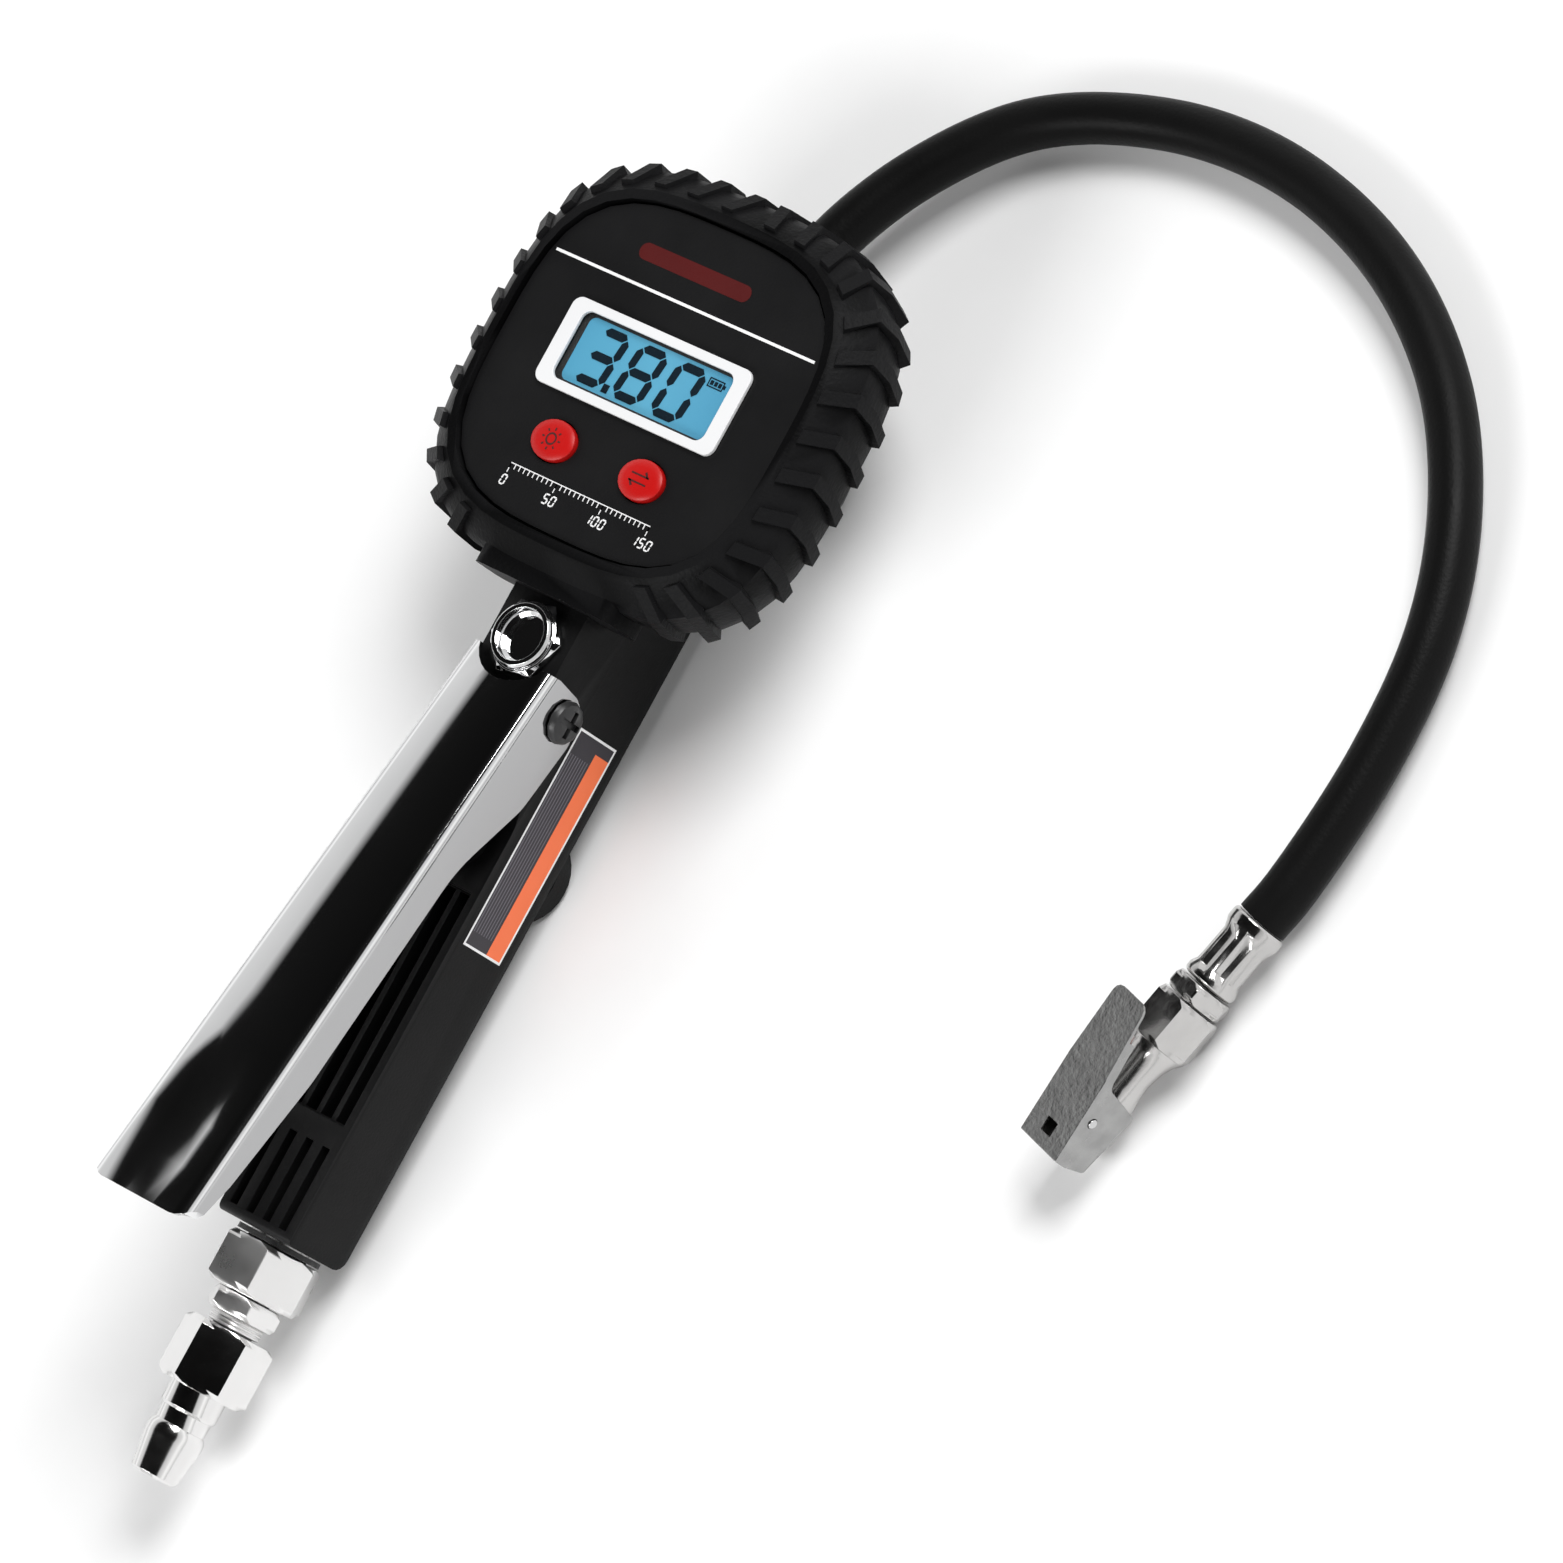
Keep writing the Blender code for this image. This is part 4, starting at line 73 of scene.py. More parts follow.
FACE_TOP_Z = 0.0457
LCD_TOP_Z = 0.04505
LCD_Y = GAUGE_Y + 0.0015
LCD_FRAME_SIZE = (0.0486, 0.0190)
LCD_FRAME_Z = (0.04572, 0.0467)
LCD_WINDOW = (0.0412, 0.0150)
BUTTON_TOP_Z = 0.0472
BUTTON_Y = GAUGE_Y - 0.0175
BUTTON_X = 0.0120
NIPPLE_NECK_OD = 0.0108
NIPPLE_NECK_Y = -0.1039
LABEL_Y = (-0.0175, 0.0312)
LABEL_Z = (0.0089, 0.0226)


# Shader groups

def new_group(name, inputs, outputs):
    group = bpy.data.node_groups.new(name, "ShaderNodeTree")
    for label, kind, value in inputs:
        socket = group.interface.new_socket(label, in_out="INPUT", socket_type=kind)
        socket.default_value = value
    for label, kind in outputs:
        group.interface.new_socket(label, in_out="OUTPUT", socket_type=kind)
    return group, group.nodes.new("NodeGroupInput"), group.nodes.new("NodeGroupOutput")


def make_grain():
    """Fine surface grain, as a bumped normal."""
    group, entry, leave = new_group(
        "surface_grain",
        [("Scale", "NodeSocketFloat", 900.0), ("Depth", "NodeSocketFloat", 0.2)],
        [("Normal", "NodeSocketVector")])
    place = group.nodes.new("ShaderNodeTexCoord")
    noise = group.nodes.new("ShaderNodeTexNoise")
    bump = group.nodes.new("ShaderNodeBump")
    noise.inputs["Detail"].default_value = 3.0
    bump.inputs["Distance"].default_value = 0.0004
    link = group.links.new
    link(place.outputs["Object"], noise.inputs["Vector"])
    link(entry.outputs["Scale"], noise.inputs["Scale"])
    link(entry.outputs["Depth"], bump.inputs["Strength"])
    link(noise.outputs["Fac"], bump.inputs["Height"])
    link(bump.outputs["Normal"], leave.inputs["Normal"])
    return group


def make_smudge():
    """Roughness that drifts over the surface, from handling."""
    group, entry, leave = new_group(
        "handling_smudge",
        [("Low", "NodeSocketFloat", 0.3), ("High", "NodeSocketFloat", 0.5),
         ("Scale", "NodeSocketFloat", 40.0)],
        [("Roughness", "NodeSocketFloat")])
    place = group.nodes.new("ShaderNodeTexCoord")
    noise = group.nodes.new("ShaderNodeTexNoise")
    span = group.nodes.new("ShaderNodeMapRange")
    noise.inputs["Detail"].default_value = 5.0
    noise.inputs["Roughness"].default_value = 0.6
    span.inputs["From Min"].default_value = 0.3
    span.inputs["From Max"].default_value = 0.7
    link = group.links.new
    link(place.outputs["Object"], noise.inputs["Vector"])
    link(entry.outputs["Scale"], noise.inputs["Scale"])
    link(noise.outputs["Fac"], span.inputs["Value"])
    link(entry.outputs["Low"], span.inputs["To Min"])
    link(entry.outputs["High"], span.inputs["To Max"])
    link(span.outputs["Result"], leave.inputs["Roughness"])
    return group


def make_tint():
    """Two close shades, mixed by cloudy noise, with convex edges lightened partly as wear and partly as
    painted highlight.
    """
    group, entry, leave = new_group(
        "shade_and_wear",
        [("Shade A", "NodeSocketColor", (0.1, 0.1, 0.1, 1.0)),
         ("Shade B", "NodeSocketColor", (0.2, 0.2, 0.2, 1.0)),
         ("Edge", "NodeSocketColor", (0.3, 0.3, 0.3, 1.0)),
         ("Wear", "NodeSocketFloat", 0.1),
         ("Scale", "NodeSocketFloat", 60.0)],
        [("Colour", "NodeSocketColor")])
    place = group.nodes.new("ShaderNodeTexCoord")
    noise = group.nodes.new("ShaderNodeTexNoise")
    shades = group.nodes.new("ShaderNodeMix")
    shades.data_type = "RGBA"
    shape = group.nodes.new("ShaderNodeNewGeometry")
    # Painted highlight and wear: convex edges, found by pointiness, get the lighter edge colour.
    edge = group.nodes.new("ShaderNodeMapRange")
    edge.inputs["From Min"].default_value = 0.52
    edge.inputs["From Max"].default_value = 0.64
    amount = group.nodes.new("ShaderNodeMath")
    amount.operation = "MULTIPLY"
    worn_and_sheen = group.nodes.new("ShaderNodeMix")
    worn_and_sheen.data_type = "RGBA"
    noise.inputs["Detail"].default_value = 4.0
    link = group.links.new
    link(place.outputs["Object"], noise.inputs["Vector"])
    link(entry.outputs["Scale"], noise.inputs["Scale"])
    link(noise.outputs["Fac"], shades.inputs["Factor"])
    link(entry.outputs["Shade A"], shades.inputs["A"])
    link(entry.outputs["Shade B"], shades.inputs["B"])
    link(shape.outputs["Pointiness"], edge.inputs["Value"])
    link(edge.outputs["Result"], amount.inputs[0])
    link(entry.outputs["Wear"], amount.inputs[1])
    link(amount.outputs["Value"], worn_and_sheen.inputs["Factor"])
    link(shades.outputs["Result"], worn_and_sheen.inputs["A"])
    link(entry.outputs["Edge"], worn_and_sheen.inputs["B"])
    link(worn_and_sheen.outputs["Result"], leave.inputs["Colour"])
    return group


GRAIN = make_grain()
SMUDGE = make_smudge()
TINT = make_tint()


def add_group(tree, group, **values):
    node = tree.nodes.new("ShaderNodeGroup")
    node.node_tree = group
    for label, value in values.items():
        node.inputs[label.replace("_", " ")].default_value = value
    return node


def rgba(colour):
    return (*colour, 1.0)


def surface(name, shade_a, shade_b, rough, metallic=0.0, grain=(900.0, 0.2), smudge=40.0, edge=None,
            wear=0.0, tint_scale=60.0, shine=0.5):
    """Principled material from the three shared groups.

    rough is the least and greatest roughness, grain the scale and depth of the fine bump, smudge and
    tint_scale the scales of the roughness and the shades.
    """
    material = bpy.data.materials.new(name)
    material.use_nodes = True
    tree = material.node_tree
    shader = tree.nodes["Principled BSDF"]
    tint = add_group(tree, TINT, Shade_A=rgba(shade_a), Shade_B=rgba(shade_b),
                     Edge=rgba(edge or shade_b), Wear=wear, Scale=tint_scale)
    drift = add_group(tree, SMUDGE, Low=rough[0], High=rough[1], Scale=smudge)
    fine = add_group(tree, GRAIN, Scale=grain[0], Depth=grain[1])
    shader.inputs["Metallic"].default_value = metallic
    shader.inputs["Specular IOR Level"].default_value = shine
    tree.links.new(tint.outputs["Colour"], shader.inputs["Base Color"])
    tree.links.new(drift.outputs["Roughness"], shader.inputs["Roughness"])
    tree.links.new(fine.outputs["Normal"], shader.inputs["Normal"])
    return material


def shader_of(material):
    return material.node_tree.nodes["Principled BSDF"]


def make_lens():
    """Thin clear pane, nearly all see-through."""
    material = surface("lens_clear", (0.010, 0.016, 0.018), (0.016, 0.022, 0.026), (0.03, 0.08),
                       grain=(300.0, 0.01))
    shader_of(material).inputs["Alpha"].default_value = 0.06
    return material


def make_lever_plate():
    """Polished chrome whose flanks get a darker base colour, a painted shade for their dimmer reflection;
    crown and flanks are told apart by the surface's own direction.
    """
    material = surface("lever_plate", (0.72, 0.725, 0.73), (0.80, 0.80, 0.805), (0.035, 0.085), 1.0,
                       (60.0, 0.010), 25.0)
    tree = material.node_tree
    base = shader_of(material).inputs["Base Color"]
    crown = base.links[0].from_socket
    place = tree.nodes.new("ShaderNodeTexCoord")
    split = tree.nodes.new("ShaderNodeSeparateXYZ")
    side = tree.nodes.new("ShaderNodeMath")
    side.operation = "ABSOLUTE"
    share = tree.nodes.new("ShaderNodeMapRange")
    share.inputs["From Min"].default_value = 0.80
    share.inputs["From Max"].default_value = 0.97
    flank_shade = tree.nodes.new("ShaderNodeMix")
    flank_shade.data_type = "RGBA"
    # Painted shade: the flanks' darker base colour stands in for the dimmer reflection they show.
    flank_shade.inputs["B"].default_value = (0.43, 0.43, 0.435, 1.0)
    tree.links.new(place.outputs["Normal"], split.inputs["Vector"])
    tree.links.new(split.outputs["X"], side.inputs[0])
    tree.links.new(side.outputs["Value"], share.inputs["Value"])
    tree.links.new(share.outputs["Result"], flank_shade.inputs["Factor"])
    tree.links.new(crown, flank_shade.inputs["A"])
    tree.links.new(flank_shade.outputs["Result"], base)
    return material


def make_lit_display():
    """Backlit panel: bright in the middle, darker towards its ends."""
    material = surface("display_lit", (0.055, 0.21, 0.32), (0.065, 0.25, 0.37), (0.35, 0.45),
                       grain=(600.0, 0.02), shine=0.2)
    tree = material.node_tree
    shader = shader_of(material)
    place = tree.nodes.new("ShaderNodeTexCoord")
    split = tree.nodes.new("ShaderNodeSeparateXYZ")
    glow = tree.nodes.new("ShaderNodeValToRGB")
    span = tree.nodes.new("ShaderNodeMapRange")
    span.inputs["From Min"].default_value = -0.021
    span.inputs["From Max"].default_value = 0.021
    ramp = glow.color_ramp
    ramp.elements[0].position = 0.0
    ramp.elements[0].color = (0.10, 0.40, 0.62, 1.0)
    ramp.elements[1].position = 1.0
    ramp.elements[1].color = (0.08, 0.33, 0.55, 1.0)
    middle = ramp.elements.new(0.55)
    middle.color = (0.17, 0.54, 0.76, 1.0)
    tree.links.new(place.outputs["Object"], split.inputs["Vector"])
    tree.links.new(split.outputs["X"], span.inputs["Value"])
    tree.links.new(span.outputs["Result"], glow.inputs["Fac"])
    tree.links.new(glow.outputs["Color"], shader.inputs["Emission Color"])
    shader.inputs["Emission Strength"].default_value = 0.42
    return material


# The lighter edge colour on the grip is partly wear and partly painted highlight.
GRIP = surface("grip_satin", (0.0032, 0.0032, 0.0034), (0.0054, 0.0054, 0.0056), (0.34, 0.46),
               grain=(1500.0, 0.12), edge=(0.026, 0.026, 0.026), wear=0.4, shine=0.10)
GLOSS = surface("cover_gloss", (0.007, 0.007, 0.008), (0.011, 0.011, 0.011), (0.22, 0.34), 0.0, (900.0, 0.05),
                shine=0.3)
# The lighter edge colour on the boot's lugs is partly wear and partly painted highlight.
BOOT = surface("boot_matte", (0.0018, 0.0018, 0.0020), (0.0032, 0.0032, 0.0034), (0.36, 0.50),
               grain=(1100.0, 0.30), edge=(0.020, 0.020, 0.021), wear=0.3, shine=0.045)
SEAL = surface("seal_matte", (0.012, 0.012, 0.012), (0.022, 0.022, 0.022), (0.50, 0.65), 0.0, (1500.0, 0.2))
HOSE = surface("hose_satin", (0.0032, 0.0032, 0.0032), (0.0052, 0.0052, 0.0052), (0.38, 0.50),
               grain=(1300.0, 0.18), shine=0.08)
CHROME = surface("chrome_mirror", (0.72, 0.725, 0.73), (0.80, 0.80, 0.805), (0.035, 0.085), 1.0,
                 (60.0, 0.010), 25.0)
NICKEL = surface("nickel_bright", (0.72, 0.715, 0.71), (0.82, 0.815, 0.81), (0.07, 0.16), 1.0,
                 (500.0, 0.02), 90.0)
NICKEL_SATIN = surface("nickel_satin", (0.74, 0.735, 0.73), (0.84, 0.835, 0.83), (0.26, 0.36), 1.0,
                       (500.0, 0.03), 90.0)
PLATED = surface("plated_satin", (0.46, 0.455, 0.45), (0.60, 0.59, 0.58), (0.12, 0.26), 1.0,
                 (700.0, 0.08), 160.0)
ZINC = surface("zinc_worn", (0.23, 0.23, 0.23), (0.43, 0.43, 0.425), (0.17, 0.30), 1.0, (900.0, 0.14), 220.0,
               tint_scale=240.0)
STEEL = surface("steel_bright", (0.52, 0.52, 0.52), (0.62, 0.62, 0.62), (0.16, 0.28), 1.0,
                (1200.0, 0.04), 200.0)
SPRING = surface("spring_wire", (0.40, 0.40, 0.41), (0.50, 0.50, 0.51), (0.22, 0.34), 1.0,
                 (1500.0, 0.05), 300.0)
BRASS = surface("brass_turned", (0.70, 0.52, 0.22), (0.80, 0.62, 0.30), (0.18, 0.30), 1.0,
                (1200.0, 0.05), 200.0)
BRONZE = surface("bronze_porous", (0.45, 0.32, 0.17), (0.58, 0.42, 0.24), (0.5, 0.7), 1.0,
                 (2600.0, 0.8), 200.0)
# The lighter edge colour on the blacked steel is partly wear and partly painted highlight.
BLACKED = surface("steel_blacked", (0.016, 0.016, 0.017), (0.030, 0.030, 0.031), (0.28, 0.42), 0.5,
                  (900.0, 0.1), edge=(0.12, 0.12, 0.12), wear=0.6)
FACE = surface("face_film", (0.0050, 0.0050, 0.0054), (0.0080, 0.0080, 0.0084), (0.30, 0.42),
               grain=(2200.0, 0.06), shine=0.22)
WHITE = surface("white_moulded", (0.67, 0.675, 0.685), (0.73, 0.73, 0.735), (0.34, 0.46), 0.0, (900.0, 0.04))
PRINT = surface("white_print", (0.70, 0.70, 0.70), (0.82, 0.82, 0.82), (0.45, 0.6), 0.0, (2500.0, 0.1))
ORANGE = surface("orange_print", (0.78, 0.135, 0.035), (0.86, 0.17, 0.050), (0.35, 0.5), 0.0, (2500.0, 0.06))
RULE = surface("grey_print", (0.085, 0.078, 0.095), (0.125, 0.115, 0.135), (0.40, 0.55), grain=(2500.0, 0.06))
DULL_RED = surface("dull_red_print", (0.060, 0.005, 0.005), (0.085, 0.007, 0.007), (0.40, 0.55),
                   grain=(2500.0, 0.08), shine=0.2)
LABEL = surface("label_film", (0.022, 0.020, 0.026), (0.034, 0.030, 0.036), (0.30, 0.42), 0.0, (2500.0, 0.06),
                shine=0.3)
RED = surface("red_moulded", (0.40, 0.004, 0.004), (0.48, 0.006, 0.005), (0.30, 0.42),
              grain=(900.0, 0.05), shine=0.3)
MARK = surface("button_print", (0.045, 0.003, 0.003), (0.065, 0.004, 0.004), (0.45, 0.6), 0.0, (2500.0, 0.06))
DIGIT = surface("display_ink", (0.004, 0.011, 0.018), (0.007, 0.016, 0.026), (0.40, 0.5), 0.0, (2500.0, 0.04),
                shine=0.1)
BOARD = surface("board_mask", (0.02, 0.15, 0.06), (0.035, 0.22, 0.09), (0.35, 0.5), 0.0, (900.0, 0.08))
DARK = surface("dark_moulded", (0.02, 0.02, 0.02), (0.03, 0.03, 0.03), (0.45, 0.6), 0.0, (900.0, 0.08))
LEVER = make_lever_plate()
LENS = make_lens()
LIT = make_lit_display()

FINISHES = {
    GRIP: ("handle_body", "valve_rear_cap", "gauge_case", "case_back"),
    GLOSS: ("gauge_rear_cover",),
    BOOT: ("gauge_boot",),
    SEAL: ("inlet_seal", "rear_cap_seal", "valve_seal", "chuck_seal"),
    HOSE: ("hose",),
    LEVER: ("trigger_lever",),
    CHROME: ("vent_plug",),
    NICKEL: ("quick_plug",),
    NICKEL_SATIN: ("inlet_nut", "inlet_nipple"),
    PLATED: ("hose_outlet", "hose_collar", "hose_ferrule", "chuck_body", "chuck_nut"),
    ZINC: ("chuck_clip",),
    STEEL: ("valve_stem", "case_screw_1", "case_screw_2", "case_screw_3", "case_screw_4", "pressure_sensor",
            "coin_cell", "valve_depressor", "clip_pin"),
    SPRING: ("valve_spring", "clip_spring"),
    BRASS: ("stem_guide_bush",),
    BRONZE: ("inlet_filter",),
    BLACKED: ("pivot_screw", "pivot_nut"),
    FACE: ("face_panel",),
    WHITE: ("lcd_frame",),
    LENS: ("lcd_lens",),
    LIT: ("lcd_module",),
    BOARD: ("circuit_board",),
    RED: ("light_button", "unit_button"),
    DARK: ("light_switch", "unit_switch"),
}


def dress(node, material):
    """Put a finish on a CAD node, through its own slot."""
    slots = node.material_slots
    if not slots:
        node.data.materials.append(material)
    for slot in slots:
        slot.material = material


def soften(node, width, smooth=True, angle=32.0):
    """Close the mesh's seams and round its edges a little, so that they catch the light."""
    data = node.data
    if "custom_normal" in data.attributes:
        data.attributes.remove(data.attributes["custom_normal"])
    if "sharp_edge" in data.attributes:
        data.attributes.remove(data.attributes["sharp_edge"])
    data.polygons.foreach_set("use_smooth", [smooth] * len(data.polygons))
    weld = node.modifiers.new("seams", "WELD")
    weld.merge_threshold = 0.00001
    edges = node.modifiers.new("edges", "BEVEL")
    edges.width = width
    edges.segments = 2
    edges.limit_method = "ANGLE"
    edges.angle_limit = math.radians(angle)
    edges.harden_normals = smooth
    edges.use_clamp_overlap = True


# Edge width, and the nodes that have it
EDGES = {
    0.00045: ("handle_body", "gauge_boot", "gauge_case", "gauge_rear_cover", "valve_rear_cap"),
    0.00030: ("inlet_nut", "quick_plug", "inlet_nipple", "vent_plug", "chuck_nut", "chuck_body",
              "hose_ferrule", "hose_collar", "hose_outlet", "light_button", "unit_button", "pivot_screw"),
    0.00018: ("trigger_lever", "chuck_clip", "face_panel", "case_back", "pivot_nut", "clip_pin",
              "valve_stem", "stem_guide_bush"),
}
FLAT_SHADED = ("chuck_clip",)
FLAT_SIDED = ("chuck_body", "chuck_nut", "inlet_nut", "inlet_nipple", "quick_plug")


def keep_flats(node):
    """Let the large flat faces set the shading, so that they stay flat up to their edges."""
    flats = node.modifiers.new("flats", "WEIGHTED_NORMAL")
    flats.mode = "FACE_AREA"
    flats.weight = 60
    flats.keep_sharp = True


def finish_nodes():
    for material, names in FINISHES.items():
        for name in names:
            dress(nodes[name], material)
    for width, names in EDGES.items():
        for name in names:
            soften(nodes[name], width, name not in FLAT_SHADED)
    for name in FLAT_SIDED:
        keep_flats(nodes[name])


# Pieces that show more than the plain solids do

def add_piece(name, mesh, material, body):
    piece = bpy.data.objects.new(name, mesh)
    mesh.materials.append(material)
    bpy.context.scene.collection.objects.link(piece)
    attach(piece, body)
    return piece


def plates_mesh(name, outlines, low, high):
    """Flat plates, each an outline of (x, y) points, from low to high."""
    mesh = bpy.data.meshes.new(name)
    work = bmesh.new()
    for outline in outlines:
        bottom = [work.verts.new((x, y, low)) for x, y in outline]
        top = [work.verts.new((x, y, high)) for x, y in outline]
        work.faces.new(list(reversed(bottom)))
        work.faces.new(top)
        count = len(outline)
        for index in range(count):
            after = (index + 1) % count
            work.faces.new((bottom[index], bottom[after], top[after], top[index]))
    bmesh.ops.recalc_face_normals(work, faces=work.faces)
    work.to_mesh(mesh)
    work.free()
    return mesh


def rectangle(x0, y0, x1, y1):
    return [(x0, y0), (x1, y0), (x1, y1), (x0, y1)]


def stadium(x, y, length, height, steps=10):
    """Round-ended bar about (x, y)."""
    radius = height / 2
    outline = []
    for way, centre in ((1, x + length / 2 - radius), (-1, x - length / 2 + radius)):
        for step in range(steps + 1):
            angle = math.pi * (step / steps - 0.5)
            outline.append((centre + way * radius * math.cos(angle), y + way * radius * math.sin(angle)))
    return outline


def rounded(x, y, width, height, radius, steps=8):
    """Rectangle about (x, y) with round corners."""
    outline = []
    for turn, (way_x, way_y) in enumerate(((1, 1), (-1, 1), (-1, -1), (1, -1))):
        centre_x = x + way_x * (width / 2 - radius)
        centre_y = y + way_y * (height / 2 - radius)
        for step in range(steps + 1):
            angle = math.pi / 2 * (turn + step / steps)
            outline.append((centre_x + radius * math.cos(angle), centre_y + radius * math.sin(angle)))
    return outline


def ring_mesh(name, outer, inner, low, high):
    """Flat ring between two outlines with the same count of points, from low to high."""
    mesh = bpy.data.meshes.new(name)
    work = bmesh.new()
    loops = [[work.verts.new((x, y, z)) for x, y in outline]
             for outline, z in ((outer, low), (outer, high), (inner, high), (inner, low))]
    for first, second in zip(loops, loops[1:] + loops[:1]):
        for index in range(len(first)):
            after = (index + 1) % len(first)
            work.faces.new((first[index], first[after], second[after], second[index]))
    bmesh.ops.recalc_face_normals(work, faces=work.faces)
    work.to_mesh(mesh)
    work.free()
    return mesh


def smooth_curve(route, count):
    """Evenly spread points on a smooth curve through a route (centripetal Catmull-Rom)."""
    knots = [Vector(place) for place in route]
    knots = [2 * knots[0] - knots[1]] + knots + [2 * knots[-1] - knots[-2]]
    fine = []
    per_knot = 24
    for index in range(1, len(knots) - 2):
        p0, p1, p2, p3 = knots[index - 1:index + 3]
        t1 = math.sqrt((p1 - p0).length)
        t2 = t1 + math.sqrt((p2 - p1).length)
        t3 = t2 + math.sqrt((p3 - p2).length)
        for step in range(per_knot):
            t = t1 + (t2 - t1) * step / per_knot
            a1 = p0 * ((t1 - t) / t1) + p1 * (t / t1)
            a2 = p1 * ((t2 - t) / (t2 - t1)) + p2 * ((t - t1) / (t2 - t1))
            a3 = p2 * ((t3 - t) / (t3 - t2)) + p3 * ((t - t2) / (t3 - t2))
            b1 = a1 * ((t2 - t) / t2) + a2 * (t / t2)
            b2 = a2 * ((t3 - t) / (t3 - t1)) + a3 * ((t - t1) / (t3 - t1))
            fine.append(b1 * ((t2 - t) / (t2 - t1)) + b2 * ((t - t1) / (t2 - t1)))
    fine.append(knots[-2])
    runs = [0.0]
    for first, second in zip(fine, fine[1:]):
        runs.append(runs[-1] + (second - first).length)
    points = [fine[0].copy()]
    index = 1
    for step in range(1, count):
        wanted = runs[-1] * step / (count - 1)
        while index < len(fine) - 1 and runs[index] < wanted:
            index += 1
        share = (wanted - runs[index - 1]) / (runs[index] - runs[index - 1])
        points.append(fine[index - 1].lerp(fine[index], min(1.0, share)))
    return points


def make_hose():
    """Round hose on its route, as a swept tube on the tool's body, in place of the solid hose."""
    points = smooth_curve(HOSE_ROUTE, 150)
    curve = bpy.data.curves.new("hose_tube", "CURVE")
    curve.dimensions = "3D"
    curve.bevel_depth = HOSE_OD / 2
    curve.bevel_resolution = 7
    curve.use_fill_caps = True
    spline = curve.splines.new("POLY")
    spline.points.add(len(points) - 1)
    spline.use_smooth = True
    for point, place in zip(spline.points, points):
        point.co = (*place, 1.0)
    curve.materials.append(HOSE)
    hose = bpy.data.objects.new("hose_tube", curve)
    bpy.context.scene.collection.objects.link(hose)
    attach(hose, "tool")
    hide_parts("hose")


def make_valve_spring():
    """Give the valve spring its own copy of its mesh."""
    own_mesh(nodes["valve_spring"])


def make_label():
    """Plain film label on the grip's right side, with a border, one stripe and thin rules."""
    turn = Matrix(((0, 0, 1, 0), (1, 0, 0, 0), (0, 1, 0, 0), (0, 0, 0, 1)))
    y0, y1 = LABEL_Y
    z0, z1 = LABEL_Z
    rim = 0.0005
    stripe_top, stripe_end = z0 + 0.0054, y1 - 0.0030
    base = HALF_HANDLE
    on_film = base + 0.00007
    border = [
        rectangle(y0, z0, y1, z0 + rim),
        rectangle(y0, z1 - rim, y1, z1),
        rectangle(y0, z0 + rim, y0 + rim, z1 - rim),
        rectangle(y1 - rim, z0 + rim, y1, z1 - rim),
    ]
    stripe = [rectangle(y0 + rim, z0 + rim, stripe_end, stripe_top)]
    sheets = (
        ("label_film", [rectangle(y0, z0, y1, z1)], base - 0.00002, base + 0.00006, LABEL),
        ("label_border", border, on_film, base + 0.00010, PRINT),
        ("label_stripe", stripe, on_film, base + 0.00009, ORANGE),
    )
    for name, outlines, low, high, material in sheets:
        mesh = plates_mesh(name, outlines, low, high)
        mesh.transform(turn)
        add_piece(name, mesh, material, "tool")
    first_rule = (base + 0.00008, (y0 + y1) / 2 - 0.0010, stripe_top + 0.0009)
    add_row("label_rules", BAR_ROW, "tool", count=8, start=first_rule, step=(0.0, 0.0, 0.0009),
            turn=(0.0, 0.0, 0.0), material=RULE, bar_size=(0.00003, 0.0400, 0.00030))


SEGMENTS = {
    "3": "abcdg",
    "8": "abcdefg",
    "0": "abcdef",
    "1": "bc",
    "5": "acdfg",
}


def segment_outlines(code, x, y, width, height, stroke):
    """Bars of one seven-part figure, leaning a little to the right."""
    half = height / 2
    gap = stroke * 0.12
    lean = 0.11
    bars = {
        "a": ((0, height), (width, height)),
        "d": ((0, 0), (width, 0)),
        "g": ((0, half), (width, half)),
        "f": ((0, half), (0, height)),
        "e": ((0, 0), (0, half)),
        "b": ((width, half), (width, height)),
        "c": ((width, 0), (width, half)),
    }
    outlines = []
    for letter in SEGMENTS[code]:
        start, end = (Vector(place) for place in bars[letter])
        along = (end - start).normalized()
        side = Vector((-along.y, along.x)) * stroke / 2
        start = start + along * gap
        end = end - along * gap
        tip = along * stroke / 2
        ring = [start, start + tip + side, end - tip + side, end, end - tip - side, start + tip - side]
        outlines.append([(x + point.x + lean * point.y, y + point.y) for point in ring])
    return outlines


def battery_outlines(x, y, length, height, line):
    """Charge sign: a frame with a tip and three bars."""
    right, top = x + length, y + height
    outlines = [
        rectangle(x, y, right, y + line),
        rectangle(x, top - line, right, top),
        rectangle(x, y + line, x + line, top - line),
        rectangle(right - line, y + line, right, top - line),
        rectangle(right, y + height * 0.3, right + 2 * line, y + height * 0.7),
    ]
    pitch = (length - 3 * line) / 3
    for number in range(3):
        left = x + 2 * line + number * pitch
        outlines.append(rectangle(left, y + 2 * line, left + pitch - line, top - 2 * line))
    return outlines


